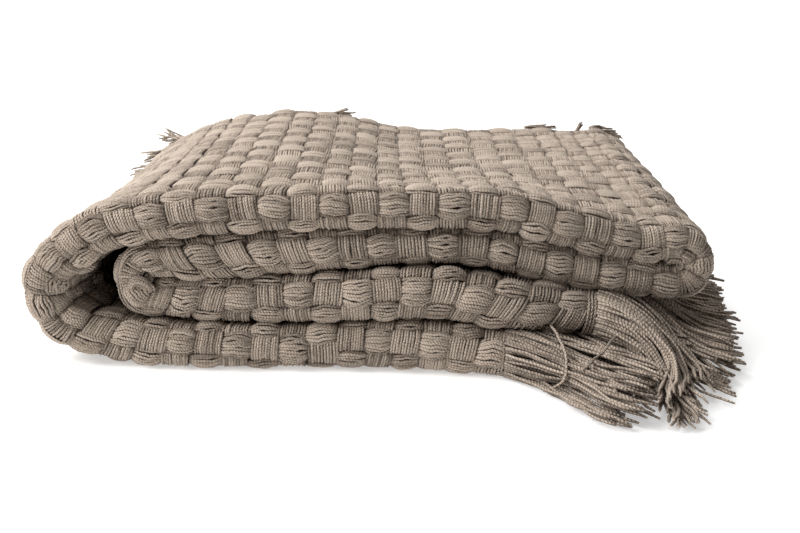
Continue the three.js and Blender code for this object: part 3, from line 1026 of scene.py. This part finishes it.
@dataclass
class EndFringe:
    """The loose strands of a short end, which spill over the surface.

    front and back are the directions in which the strands leave and in which they come to rest,
    in degrees towards the front, at the front fold and behind swing_by of the depth. rests are
    the heights at which the four sheets' strands come to rest, lowest sheet first, and lift is
    added to them by the share lift_by of the depth. spacing is that of the strands along the
    folded edge, and the skin_ values are for more strands round its outside, out to reach on
    either side of the front fold. band is the strip's finished edge before the roots.
    """

    name: str
    at_start: bool
    length: float
    length_back: float
    front: tuple[float, float]
    back: tuple[float, float]
    rests: tuple[float, ...]
    lift: float
    lift_by: float
    swing_by: float = 0.3
    spacing: float = 2.4 * MM
    skin_spacing: float = 1.6 * MM
    skin_height: float = 1.3 * MM
    reach: float = 292 * MM
    band: float = 0.4 * MM

    # The strands in the depth of a sheet, and those in a lock
    DEEP = 400
    LOCK = 9
    SKIN_UNEVEN = 0.5 * MM
    ROOT_UNEVEN = 0.3 * MM
    SWING_POWER = 1.3
    # How much the strands differ: leaving and landing in degrees, and length as a share
    LEAVING = Spread(3, 2)
    LANDING = Spread(7, 2)
    LENGTHS = Spread(0.02, 0.035)
    HEIGHTS = Spread(1.2 * MM, 1.6 * MM)

    def build(self, strip: FoldedStrip, rng: np.random.Generator) -> bpy.types.Object:
        """Makes the strands.

        Args:
            strip: The path whose end they hang from.
            rng: The source of their unevenness.

        Returns:
            The piece.
        """
        parts = MeshParts()
        place, outwards = (0.0, -1.0) if self.at_start else (strip.length, 1.0)
        root, share, level = strip.across_cloth(place, self.spacing)
        across = np.arange(-self.reach, self.reach, self.skin_spacing)
        rise = self.skin_height + rng.normal(0, self.SKIN_UNEVEN, len(across))
        skin, _ = strip.face(np.full(len(across), place), across, rise)
        beyond = np.maximum(np.abs(across) - BACK_FOLD * math.pi / 2, 0)
        share = np.concatenate([share, np.clip(beyond / (BACK_Y - FRONT_Y), 0, 1)])
        side = np.sin(np.clip(across / BACK_FOLD, -1, 1) * math.pi / 2)
        level = np.concatenate([level, OUTER_SHEET * side])
        root = np.concatenate([root, skin])
        count = len(root)
        along = strip.spot(np.full(count, place), share).along
        root = root + along * outwards * self.band + rng.normal(0, self.ROOT_UNEVEN, (count, 3))
        sheet = np.clip(np.round(level + OUTER_SHEET), 0, 3).astype(int)
        lock = (share * self.DEEP / self.LOCK).astype(int) * 4 + sheet
        shared = rng.normal(0, 1, (lock.max() + 1, 3))[lock]
        own = rng.normal(0, 1, (count, 3))
        swing = np.maximum(0, 1 - share / self.swing_by) ** self.SWING_POWER
        leaving = self.back[0] + (self.front[0] - self.back[0]) * swing
        landing = self.back[1] + (self.front[1] - self.back[1]) * swing
        length = self.length_back + (self.length - self.length_back) * swing
        sheets = np.array([-OUTER_SHEET, -INNER_SHEET, INNER_SHEET, OUTER_SHEET])
        low = np.interp(level * outwards, sheets, self.rests)
        low = low + self.lift * np.minimum(1, share / self.lift_by)
        Strands(
            root,
            length * (1 + self.LENGTHS.of(shared[:, 2], own[:, 2])),
            -np.radians(leaving + self.LEAVING.of(shared[:, 0], own[:, 0])),
            -np.radians(landing + self.LANDING.of(shared[:, 0], own[:, 0])),
            low + np.abs(self.HEIGHTS.of(shared[:, 1], own[:, 1])),
            lock,
        ).add_to(parts, rng)
        return parts.to_object(self.name)


class Sheets(Enum):
    """The sheets whose long edges lie at the back, in pitches from the strip's middle."""

    OUTER = OUTER_SHEET
    INNER = INNER_SHEET


@dataclass
class SideFringe:
    """The loose strands of a long edge, behind the pile."""

    name: str
    sheet: Sheets
    per_pair: float = 17.0
    length: float = 104 * MM

    LOCK = 9
    # How far behind the cloth's edge the roots lie, and how unevenly they follow each other
    BEHIND = 1.5 * MM
    UNEVEN = 0.15
    # How much the strands differ: splay in degrees, and length as a share
    SPLAYS = Spread(9, 5)
    LENGTHS = Spread(0.05, 0.05)
    HEIGHTS = Spread(2 * MM, 2 * MM)
    # The splay at the left and right corners in degrees, where they start and how soon it is full
    LEFT_SPLAY = -16
    RIGHT_SPLAY = 4
    CORNER = 150 * MM
    CORNER_REACH = 60 * MM
    # The shares of the splay with which strands leave and land
    LEAVE = 0.5
    LAND = 1.3
    # How high the tips of each stretch come to rest, in millimetres
    REST = {
        Stretch.TOP: 28,
        Stretch.RIGHT_TURN: 22,
        Stretch.SECOND: 15,
        Stretch.INNER_TURN: 9,
        Stretch.THIRD: 5,
        Stretch.BOTTOM: 0,
        Stretch.LEFT_TURN: 4,
    }

    def build(self, strip: FoldedStrip, rng: np.random.Generator) -> bpy.types.Object:
        """Makes the strands.

        Args:
            strip: The path whose back they hang from.
            rng: The source of their unevenness.

        Returns:
            The piece.
        """
        parts = MeshParts()
        low, high = strip.pairs[0], strip.pairs[-1]
        count = int((high - low) * self.per_pair)
        order = np.arange(count) + 0.5 + rng.normal(0, self.UNEVEN, count)
        pairs = low + order * (high - low) / count
        place = strip.place_of(np.clip(pairs, low, high))
        middles = np.array([sum(strip.ends[stretch]) / 2 for stretch in Stretch])
        rest = np.interp(place, middles, [self.REST[stretch] * MM for stretch in Stretch])
        root = strip.edge(place, self.sheet.value, back=self.BEHIND)
        lock = np.arange(count) // self.LOCK
        shared = rng.normal(0, 1, (lock.max() + 1, 3))[lock]
        own = rng.normal(0, 1, (count, 3))
        left = np.clip((-root[:, 0] - self.CORNER) / self.CORNER_REACH, 0, 1)
        right = np.clip((root[:, 0] - self.CORNER) / self.CORNER_REACH, 0, 1)
        splay = self.SPLAYS.of(shared[:, 0], own[:, 0]) + self.LEFT_SPLAY * left + self.RIGHT_SPLAY * right
        Strands(
            root,
            self.length * (1 + self.LENGTHS.of(shared[:, 1], own[:, 1])),
            np.radians(90 - self.LEAVE * splay),
            np.radians(90 - self.LAND * splay),
            rest + np.abs(self.HEIGHTS.of(shared[:, 2], own[:, 2])),
            lock,
            points=9,
        ).add_to(parts, rng)
        return parts.to_object(self.name)


@dataclass
class Header:
    """The twined lines and the cord that finish a short end.

    pitch is that of the lines, radius that of a ply, twine how far the two plies go round each
    other, turn the length of one round, cord the radius of the cord, and step the pitch of the
    points. reach is how far the lines go on either side of the front fold.
    """

    name: str
    at_start: bool
    lines: int = 3
    pitch: float = 2.3 * MM
    radius: float = 0.68 * MM
    raised: float = 0.7 * MM
    twine: float = 0.62 * MM
    turn: float = 5.2 * MM
    cord: float = 1.25 * MM
    step: float = 1.5 * MM
    reach: float = 290 * MM

    # The first line's distance from the end in pitches, and how far each next one is turned
    FIRST_LINE = 0.4
    LINE_TURN = 1.9
    LINE_TONE = 0.75
    TONE_UNEVEN = 0.08
    CORD_TONE = 0.45
    HEIGHT_UNEVEN = 0.04 * MM
    CORD_UNEVEN = 0.15 * MM

    def build(self, strip: FoldedStrip, rng: np.random.Generator) -> bpy.types.Object:
        """Makes the twined lines round the end of the strip.

        Args:
            strip: The path that ends there.
            rng: The source of their unevenness.

        Returns:
            The piece.
        """
        parts = MeshParts()
        end, inwards = (0.0, 1.0) if self.at_start else (strip.length, -1.0)
        across = np.arange(-self.reach, self.reach, self.step)
        for line in range(self.lines):
            for ply in (0, math.pi):
                angle = 2 * math.pi * across / self.turn + ply + self.LINE_TURN * line
                inset = (line + self.FIRST_LINE) * self.pitch + self.twine * np.sin(angle)
                height = self.raised + self.twine * np.cos(angle)
                height = height + rng.normal(0, self.HEIGHT_UNEVEN, len(across))
                points, up = strip.face(end + inwards * inset, across, height)
                tone = self.LINE_TONE + rng.normal(0, self.TONE_UNEVEN)
                self._add(parts, points, up, self.radius, tone)
        points, _, _ = strip.across_cloth(end, 1.5 * self.step)
        points[:, 0] += rng.normal(0, self.CORD_UNEVEN, len(points))
        up = np.zeros_like(points)
        up[:, 0] = 1
        self._add(parts, points, up, self.cord, self.CORD_TONE)
        return parts.to_object(self.name)

    @staticmethod
    def _add(parts: MeshParts, points: np.ndarray, up: np.ndarray, radius: float, tone: float) -> None:
        """Adds one line.

        Args:
            parts: What it is added to.
            points: Its middle line.
            up: The direction that faces out at each point.
            radius: Its radius.
            tone: Its tone.
        """
        points[:, 2] = np.maximum(points[:, 2], radius)
        tones = np.full((1, len(points)), tone)
        Tubes(points[None], np.array([radius]), tones, up[None]).add_to(parts)


@dataclass
class Bud:
    """A rolled fold of the inner sheets that bulges out of a tight turn.

    Its yarns are arcs about x and z, from start to finish in degrees, at radii from inner to
    outer. depth is how far they sink towards the back.
    """

    name: str
    x: float
    y: float
    z: float
    inner: float
    outer: float
    start: float
    finish: float
    yarns: int = 8
    points: int = 12
    depth: float = 5 * MM
    radius: float = 0.9 * MM

    ANGLE_UNEVEN = 0.08
    SIZE_UNEVEN = 0.2 * MM
    SQUASH = 0.08
    TONE = 0.45
    TONE_UNEVEN = 0.15

    def build(self, strip: FoldedStrip, rng: np.random.Generator) -> bpy.types.Object:
        """Makes the arched yarns of the fold.

        Args:
            strip: Unused here, as the makers of the weave are all called in the same way.
            rng: The source of their unevenness.

        Returns:
            The piece.
        """
        parts = MeshParts()
        share = np.linspace(0, 1, self.yarns)[:, None]
        t = np.linspace(0, 1, self.points)[None, :]
        angle = np.radians(self.start + (self.finish - self.start) * t)
        angle = angle + rng.normal(0, self.ANGLE_UNEVEN, (self.yarns, 1))
        size = self.inner + (self.outer - self.inner) * share
        size = size + rng.normal(0, self.SIZE_UNEVEN, (self.yarns, 1))
        size = size * (1 + self.SQUASH * np.sin(3 * angle + 2 * share))
        sunk = self.depth * (share - 0.5) ** 2 * 2 + self.depth * (2 * t - 1) ** 4
        middle = np.array([self.x, self.y, self.z])
        lines = np.stack([size * np.cos(angle), sunk + 0 * angle, size * np.sin(angle)], -1) + middle
        up = np.zeros_like(lines)
        up[..., 1] = -1
        tone = np.clip(self.TONE + rng.normal(0, self.TONE_UNEVEN, (self.yarns, 1)) + 0 * t, 0, 1)
        Tubes(lines, np.full(self.yarns, self.radius), tone, up).add_to(parts)
        return parts.to_object(self.name)


@dataclass
class Tuft:
    """A few strands of the back edges that show past the pile, from root to tip in millimetres."""

    root: tuple[float, float, float]
    tip: tuple[float, float, float]
    spread: float
    count: int

    POINTS = 8
    RADIUS = 0.95 * MM
    # The shortest and longest strand, as shares of the way from root to tip
    LENGTHS = (0.6, 1.05)
    CURL = 0.35
    CURL_PHASE = 5
    TONE_UNEVEN = 0.15
    TIP_TAPER = 0.7

    def add_to(self, parts: MeshParts, rng: np.random.Generator) -> None:
        """Adds the strands.

        Args:
            parts: What they are added to.
            rng: The source of their unevenness.
        """
        t = np.linspace(0, 1, self.POINTS)[None, :, None]
        root = np.array(self.root) * MM + rng.normal(0, self.spread * MM / 2, (self.count, 1, 3))
        way = (np.array(self.tip) - np.array(self.root)) * MM
        way = way * rng.uniform(*self.LENGTHS, (self.count, 1, 1))
        fan = rng.normal(0, self.spread * MM, (self.count, 1, 3))
        curl = rng.normal(0, self.CURL * self.spread * MM, (self.count, 1, 3))
        lines = root + way * t + fan * t**1.5 + curl * np.sin(self.CURL_PHASE * t)
        up = np.zeros_like(lines)
        up[..., 2], up[..., 1] = 1, -0.4
        tone = rng.normal(0.5, self.TONE_UNEVEN, (self.count, 1)) + np.zeros((1, self.POINTS))
        radius = np.full(self.count, self.RADIUS)
        Tubes(lines, radius, np.clip(tone, 0, 1), up, taper=self.TIP_TAPER).add_to(parts)


@dataclass
class StrayStrand:
    """A single long strand that lies over the others, through points in millimetres."""

    through: tuple[tuple[float, float, float], ...]

    POINTS = 40
    RADIUS = 1.0 * MM
    TONE = 0.6
    UNEVEN = 0.12 * MM

    def add_to(self, parts: MeshParts, rng: np.random.Generator) -> None:
        """Adds the strand.

        Args:
            parts: What it is added to.
            rng: The source of its unevenness.
        """
        marks = np.array(self.through) * MM
        steps = np.linalg.norm(np.diff(marks, axis=0), axis=1)
        line = SmoothLine(np.concatenate([[0], np.cumsum(steps)]), marks)
        points, _ = line.at(np.linspace(0, steps.sum(), self.POINTS))
        points[:, :2] += rng.normal(0, self.UNEVEN, (self.POINTS, 2))
        up = np.zeros((1, self.POINTS, 3))
        up[..., 1] = -1
        tone = np.full((1, self.POINTS), self.TONE)
        Tubes(points[None], np.array([self.RADIUS]), tone, up).add_to(parts)


@dataclass
class LooseEnds:
    """The tufts and stray strands that are seen one by one."""

    name: str
    members: tuple[Tuft | StrayStrand, ...]

    def build(self, rng: np.random.Generator) -> bpy.types.Object:
        """Makes them all.

        Args:
            rng: The source of their unevenness.

        Returns:
            The piece.
        """
        parts = MeshParts()
        for member in self.members:
            member.add_to(parts, rng)
        return parts.to_object(self.name)


def linked(tree: bpy.types.NodeTree, kind: str, inputs: dict | None = None, **settings) -> bpy.types.Node:
    """Adds a node, sets it and links it.

    Args:
        tree: The node tree.
        kind: The node's type.
        inputs: For each input's name or number, a value or an output socket.
        settings: The node's own properties.

    Returns:
        The node.
    """
    node = tree.nodes.new(kind)
    for key, value in settings.items():
        setattr(node, key, value)
    for key, value in (inputs or {}).items():
        if isinstance(value, bpy.types.NodeSocket):
            tree.links.new(value, node.inputs[key])
        else:
            node.inputs[key].default_value = value
    return node


def maths(
    tree: bpy.types.NodeTree, operation: str, *values: bpy.types.NodeSocket | float
) -> bpy.types.NodeSocket:
    """Adds a math node.

    Args:
        tree: The node tree.
        operation: What it does.
        values: Its inputs.

    Returns:
        Its result.
    """
    node = linked(tree, "ShaderNodeMath", dict(enumerate(values)), operation=operation)
    return node.outputs[0]


def ramp(
    tree: bpy.types.NodeTree, value: bpy.types.NodeSocket, ends: tuple[float, float], top: float = 1.0
) -> bpy.types.NodeSocket:
    """Adds a clamped map range node.

    Args:
        tree: The node tree.
        value: What is mapped.
        ends: The values that give 0 and top.
        top: The largest result.

    Returns:
        Its result.
    """
    inputs = {0: value, 1: ends[0], 2: ends[1], 3: 0.0, 4: top}
    return linked(tree, "ShaderNodeMapRange", inputs).outputs[0]


def noise(
    tree: bpy.types.NodeTree, scale: float, detail: float, roughness: float = 0.5
) -> bpy.types.NodeSocket:
    """Adds a noise that is fixed to the object.

    Args:
        tree: The node tree.
        scale: How many times it repeats in a metre.
        detail: How many finer layers it has.
        roughness: How strong the finer layers are.

    Returns:
        Its result.
    """
    place = linked(tree, "ShaderNodeTexCoord").outputs["Object"]
    inputs = {"Vector": place, "Scale": scale, "Detail": detail, "Roughness": roughness}
    return linked(tree, "ShaderNodeTexNoise", inputs).outputs["Fac"]


def blend(
    tree: bpy.types.NodeTree,
    share: bpy.types.NodeSocket,
    first: tuple[float, float, float] | bpy.types.NodeSocket,
    second: tuple[float, float, float] | bpy.types.NodeSocket,
) -> bpy.types.NodeSocket:
    """Adds a mix of two colours.

    Args:
        tree: The node tree.
        share: The share of the second colour.
        first: The first colour.
        second: The second colour.

    Returns:
        Its result.
    """
    colours = [c if isinstance(c, bpy.types.NodeSocket) else (*c, 1) for c in (first, second)]
    inputs = {0: share, 6: colours[0], 7: colours[1]}
    return linked(tree, "ShaderNodeMix", inputs, data_type="RGBA").outputs[2]


@dataclass(frozen=True)
class CottonYarn:
    """Matt two-ply cotton yarn: twisted plies, heathered tone, short fibres, and painted shade on each
    yarn's flanks and in the grooves of its plies.
    """

    name: str = "cotton_yarn"
    light: tuple[float, float, float] = (0.53, 0.435, 0.353)
    dark: tuple[float, float, float] = (0.155, 0.113, 0.083)
    groove_shade: tuple[float, float, float] = (0.08, 0.055, 0.039)
    pale_fibre: tuple[float, float, float] = (0.78, 0.71, 0.63)
    groove_shade_share: float = 0.92
    ply_shade_share: float = 0.24
    ply_pitch: float = 1.9
    plies: float = 2.0
    twist_depth: float = 0.4 * MM
    fibre_depth: float = 0.14 * MM
    roughness: float = 0.95

    # Noises in repeats a metre: single fibres, flecks and patches, and how much the last two shade
    FIBRES = 1500.0
    FLECKS = 420.0
    FLECK_SHARE = 0.9
    PATCHES = 28.0
    PATCH_SHARE = 0.4
    # The tones that give the dark and the light colour, the fibres that show pale, and the heights
    # round a yarn between which the painted groove shade comes in, darkening its flanks
    TONES = (0.7, 1.6)
    PALE = (0.57, 0.78)
    PALE_SHARE = 0.65
    GROOVE_SHADE = (0.68, 0.0)

    def build(self) -> bpy.types.Material:
        """Makes the material.

        Returns:
            The material, which reads the yarn coordinates and tones of the meshes.
        """
        material = bpy.data.materials.new(self.name)
        material.use_nodes = True
        tree = material.node_tree
        tree.nodes.clear()
        yarn = linked(tree, "ShaderNodeUVMap", uv_map="yarn")
        around, along, _ = linked(tree, "ShaderNodeSeparateXYZ", {0: yarn.outputs[0]}).outputs
        turns = maths(tree, "MULTIPLY", around, self.plies)
        twist = maths(tree, "MULTIPLY_ADD", along, 1 / self.ply_pitch, turns)
        ply = maths(tree, "ABSOLUTE", maths(tree, "SINE", maths(tree, "MULTIPLY", twist, math.pi)))
        crest = maths(tree, "SINE", maths(tree, "MULTIPLY", around, 2 * math.pi))
        fibres = noise(tree, self.FIBRES, 3.0, 0.7)
        patches = noise(tree, self.PATCHES, 2.0)
        flecks = noise(tree, self.FLECKS, 2.0)
        tone = linked(tree, "ShaderNodeAttribute", attribute_name="tone").outputs["Fac"]
        mixed = maths(tree, "MULTIPLY_ADD", patches, self.PATCH_SHARE, tone)
        # Painted light and shade of the twisted plies: lighter on their crests and darker between them,
        # mixed into the tone
        mixed = maths(tree, "MULTIPLY_ADD", ply, self.ply_shade_share, mixed)
        mixed = maths(tree, "MULTIPLY_ADD", flecks, self.FLECK_SHARE, mixed)
        colour = blend(tree, ramp(tree, mixed, self.TONES), self.dark, self.light)
        colour = blend(tree, ramp(tree, fibres, self.PALE, self.PALE_SHARE), colour, self.pale_fibre)
        # Painted shade: the flanks of each yarn, away from its crest, take the dark groove shade colour
        colour = blend(tree, ramp(tree, crest, self.GROOVE_SHADE, self.groove_shade_share), colour, self.groove_shade)
        fine = {"Strength": 1.0, "Distance": self.fibre_depth, "Height": fibres}
        fine = linked(tree, "ShaderNodeBump", fine).outputs[0]
        bump = {"Strength": 1.0, "Distance": self.twist_depth, "Height": ply, "Normal": fine}
        bump = linked(tree, "ShaderNodeBump", bump).outputs[0]
        finish = {
            "Base Color": colour,
            "Roughness": self.roughness,
            "Specular IOR Level": 0.15,
            "Sheen Weight": 0.2,
            "Sheen Roughness": 0.6,
            "Sheen Tint": (0.95, 0.9, 0.84, 1),
            "Normal": bump,
        }
        shader = linked(tree, "ShaderNodeBsdfPrincipled", finish)
        linked(tree, "ShaderNodeOutputMaterial", {0: shader.outputs[0]})
        return material


@dataclass(frozen=True)
class WovenGround:
    """The cloth under and between the raised yarns, woven of the same cotton, coloured far darker than the
    yarns as painted shade for the deep gaps where it shows.
    """

    name: str = "cotton_ground"
    light: tuple[float, float, float] = (0.2, 0.15, 0.115)
    dark: tuple[float, float, float] = (0.11, 0.08, 0.06)
    yarns: float = 9.0
    depth: float = 1.2 * MM
    roughness: float = 0.97

    # How high the yarns stand on the blocks, and the heights that give the dark and light colour, a painted
    # shade on the low parts
    RIDGE_SHARE = 0.45
    HEIGHTS = (0.1, 1.3)

    def build(self) -> bpy.types.Material:
        """Makes the material.

        Returns:
            The material, which reads pairs and rows from the yarn coordinates of the mesh.
        """
        material = bpy.data.materials.new(self.name)
        material.use_nodes = True
        tree = material.node_tree
        tree.nodes.clear()
        yarn = linked(tree, "ShaderNodeUVMap", uv_map="yarn")
        pairs, rows, _ = linked(tree, "ShaderNodeSeparateXYZ", {0: yarn.outputs[0]}).outputs
        columns = maths(tree, "MULTIPLY", pairs, 2.0)
        cells = maths(tree, "ADD", maths(tree, "FLOOR", columns), maths(tree, "FLOOR", rows))
        turned = maths(tree, "FLOORED_MODULO", cells, 2.0)
        ridges = [self._wave(tree, axis, self.yarns) for axis in (columns, rows)]
        pillows = [self._wave(tree, axis, 1.0) for axis in (rows, columns)]
        ridge = linked(tree, "ShaderNodeMix", {0: turned, 2: ridges[0], 3: ridges[1]}).outputs[0]
        pillow = linked(tree, "ShaderNodeMix", {0: turned, 2: pillows[0], 3: pillows[1]}).outputs[0]
        height = maths(tree, "MULTIPLY_ADD", ridge, self.RIDGE_SHARE, pillow)
        # Painted shade: the low parts of the relief take the dark colour
        colour = blend(tree, ramp(tree, height, self.HEIGHTS), self.dark, self.light)
        bump = {"Strength": 1.0, "Distance": self.depth, "Height": height}
        bump = linked(tree, "ShaderNodeBump", bump).outputs[0]
        finish = {
            "Base Color": colour,
            "Roughness": self.roughness,
            "Specular IOR Level": 0.1,
            "Normal": bump,
        }
        shader = linked(tree, "ShaderNodeBsdfPrincipled", finish)
        linked(tree, "ShaderNodeOutputMaterial", {0: shader.outputs[0]})
        return material

    @staticmethod
    def _wave(tree: bpy.types.NodeTree, axis: bpy.types.NodeSocket, count: float) -> bpy.types.NodeSocket:
        """Adds round ridges.

        Args:
            tree: The node tree.
            axis: What they are counted along.
            count: The ridges in a block.

        Returns:
            Their height, from 0 to 1.
        """
        phase = maths(tree, "MULTIPLY", axis, count * math.pi)
        return maths(tree, "ABSOLUTE", maths(tree, "SINE", phase))


@dataclass(frozen=True)
class SoftLight:
    """A square soft light, with its side in metres and its power in watts."""

    name: str
    at: tuple[float, float, float]
    towards: tuple[float, float, float]
    size: float
    power: float

    def build(self) -> None:
        """Adds the light."""
        data = bpy.data.lights.new(self.name, "AREA")
        data.size, data.energy = self.size, self.power
        light = bpy.data.objects.new(self.name, data)
        light.location = self.at
        way = Vector(self.towards) - Vector(self.at)
        light.rotation_euler = way.to_track_quat("-Z", "Y").to_euler()
        bpy.context.scene.collection.objects.link(light)


@dataclass(frozen=True)
class Studio:
    """A plain pale floor, soft light and the camera of the photograph."""

    camera_at: tuple[float, float, float] = (0.021, -0.873, 0.288)
    camera_tilt: float = 72.9
    lens: float = 52.65
    floor_size: float = 60.0
    sky: float = 0.05
    floor_colour: tuple[float, float, float, float] = (0.85, 0.85, 0.845, 1)
    floor_glow: float = 0.4

    LIGHTS = (
        SoftLight("overhead", (-0.3, 0.2, 1.5), (0, 0.0, 0), 1.1, 6.0),
        SoftLight("left_high", (-1.35, -0.25, 1.25), (0, 0, 0.05), 0.9, 27.0),
        SoftLight("front_left", (-1.6, -0.85, 0.85), (0, 0, 0.05), 1.0, 12.0),
        SoftLight("front_high", (-0.5, -0.7, 1.5), (0, 0, 0.05), 0.9, 2.5),
        SoftLight("backdrop", (0.0, 3.0, 2.4), (0, 3.0, 0), 3.4, 150.0),
    )

    def build(self) -> None:
        """Makes the floor, the lights and the camera."""
        scene = bpy.context.scene
        scene.view_settings.view_transform = "Standard"
        self._floor()
        world = bpy.data.worlds.new("soft_room")
        world.use_nodes = True
        back = world.node_tree.nodes["Background"]
        back.inputs[0].default_value = (1, 1, 1, 1)
        back.inputs[1].default_value = self.sky
        scene.world = world
        for light in self.LIGHTS:
            light.build()
        data = bpy.data.cameras.new("camera")
        data.lens, data.sensor_width = self.lens, 36.0
        data.clip_start, data.clip_end = 0.01, 50.0
        camera = bpy.data.objects.new("camera", data)
        camera.location = self.camera_at
        camera.rotation_euler = (math.radians(self.camera_tilt), 0, 0)
        scene.collection.objects.link(camera)
        scene.camera = camera

    def _floor(self) -> None:
        """Makes the floor."""
        mesh = bpy.data.meshes.new("floor")
        half = self.floor_size / 2
        corners = [(-half, -half, 0), (half, -half, 0), (half, half, 0), (-half, half, 0)]
        mesh.from_pydata(corners, [], [(0, 1, 2, 3)])
        floor = bpy.data.objects.new("floor", mesh)
        material = bpy.data.materials.new("pale_floor")
        material.use_nodes = True
        shader = material.node_tree.nodes["Principled BSDF"]
        shader.inputs["Base Color"].default_value = self.floor_colour
        shader.inputs["Roughness"].default_value = 0.6
        shader.inputs["Specular IOR Level"].default_value = 0.2
        shader.inputs["Emission Color"].default_value = (1, 1, 1, 1)
        shader.inputs["Emission Strength"].default_value = self.floor_glow
        mesh.materials.append(material)
        bpy.context.scene.collection.objects.link(floor)


def dress(piece: bpy.types.Object, material: bpy.types.Material) -> None:
    """Gives a piece its finish and lets it ride on the throw.

    Args:
        piece: The piece.
        material: Its finish.
    """
    piece.data.materials.append(material)
    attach(piece, BODY)
    LOG.info("%s: %d triangles", piece.name, 2 * len(piece.data.polygons))


WEAVE = (
    WeavePatch("weave_lower_front", (-14.6, -8.0), (-5, 1)),
    WeavePatch("weave_left_front", (-8.0, -4.6), (-4, 2)),
    WeavePatch("weave_top_front", (-4.6, 5.4), (-2, 2)),
    WeavePatch("weave_right_front", (5.4, 8.2), (-3, 2)),
    WeavePatch("weave_second_front", (8.2, 16.4), (-2, 2)),
    WeavePatch("weave_inner_front", (16.4, 18.4), (-6, 2)),
    WeavePatch("weave_third_front", (18.4, 25.4), (-2, 3)),
    WeavePatch("weave_top_left", (-4.6, 0.2), (3, 17), points=6, calm=0.4),
    WeavePatch("weave_top_right", (0.2, 5.4), (3, 17), points=6, calm=0.4),
    WeavePatch("weave_left_turn", (-8.0, -4.6), (3, 17), points=6),
    WeavePatch("weave_right_turn", (5.4, 8.2), (3, 17), points=6),
    WeavePatch("weave_underside", (-14.6, -8.0), (2, 17), points=4, calm=0.5),
)

ENDS = (
    EndFringe(
        "fringe_end_lower_strands", True, 108 * MM, 100 * MM, (40, 56), (4, 24),
        (1 * MM, 6 * MM, 11 * MM, 16 * MM), 0, 1,
    ),
    EndFringe(
        "fringe_end_upper_strands", False, 113 * MM, 95 * MM, (30, 90), (2, 18),
        (1 * MM, 3 * MM, 7 * MM, 11 * MM), 6 * MM, 0.3,
    ),
)

SIDES = (
    SideFringe("fringe_side_outer_strands", Sheets.OUTER),
    SideFringe("fringe_side_inner_strands", Sheets.INNER),
)

HEADERS = (Header("header_lower", True), Header("header_upper", False))

BUDS = (
    Bud("bud_inner_turn", -147 * MM, -157 * MM, 51.5 * MM, 2.2 * MM, 8.6 * MM, -25, 205),
    Bud("bud_right_turn", 199 * MM, -150 * MM, 65.5 * MM, 1.8 * MM, 6.2 * MM, -60, 170, yarns=6),
    Bud(
        "band_inner_turn", -140 * MM, -151 * MM, 56.2 * MM, 17.5 * MM, 23.5 * MM, 80, 285, yarns=5,
        points=20,
    ),
    Bud("bud_left_top", -186 * MM, -147 * MM, 68 * MM, 2.5 * MM, 9 * MM, 175, 345, yarns=8),
    Bud("bud_left_low", -201 * MM, -148 * MM, 45 * MM, 1.8 * MM, 6.5 * MM, -70, 110, yarns=6),
)

LOOSE_ENDS = LooseEnds(
    "loose_ends",
    (
        Tuft((-168, 150, 88), (-192, 168, 92), 3.6, 30),
        Tuft((-186, 154, 78), (-209, 168, 71), 3.2, 24),
        Tuft((-198, 154, 66), (-219, 166, 56), 2.8, 20),
        Tuft((-44, 150, 113), (-20, 142, 117), 1.5, 12),
        Tuft((131, 145, 103), (157, 145, 102.5), 1.2, 10),
        Tuft((176, 148, 98), (182, 150, 107), 0.8, 6),
        Tuft((190, 148, 101), (216, 163, 92), 2.4, 22),
        StrayStrand((
            (116.5, -169, 33.5), (119.5, -184, 31.5), (121.5, -195, 28.5), (122.6, -206, 25),
            (122.3, -211.5, 20.5), (121.5, -213.2, 15.5), (120, -211, 10.5), (116, -209, 6.5),
            (109, -207.5, 3),
        )),
        StrayStrand((
            (158, -180, 30), (151.5, -191, 28.5), (147, -198.5, 26.2), (142.5, -203.5, 24.6),
            (138, -209.6, 23.8), (134.6, -215.6, 23.2), (130.5, -218.4, 21.8),
        )),
    ),
)


def main() -> None:
    """Builds the throw's pieces in order, dresses them and sets the studio."""
    logging.basicConfig(level=logging.INFO, format="%(message)s")
    strip = FoldedStrip()
    yarn, ground = CottonYarn().build(), WovenGround().build()
    strand = CottonYarn(
        "cotton_strand", light=(0.57, 0.468, 0.38), groove_shade_share=0.68, ply_pitch=2.5, ply_shade_share=0.26,
        twist_depth=0.5 * MM,
    ).build()
    core = ClothCore().build(strip)
    dress(core, ground)
    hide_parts("cloth")
    carried = []
    for k, maker in enumerate((*WEAVE, *HEADERS, *BUDS)):
        carried.append(maker.build(strip, np.random.default_rng(SEED + k)))
        dress(carried[-1], yarn)
    carried.append(LOOSE_ENDS.build(np.random.default_rng(SEED + LOOSE_SEED)))
    dress(carried[-1], strand)
    nodes = ("fringe_end_lower", "fringe_end_upper", "fringe_side_outer", "fringe_side_inner")
    for k, (fringe, node) in enumerate(zip((*ENDS, *SIDES), nodes)):
        carried.append(fringe.build(strip, np.random.default_rng(SEED + FRINGE_SEED + k)))
        dress(carried[-1], strand)
        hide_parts(node)
    Studio().build()


if __name__ == "__main__":
    main()
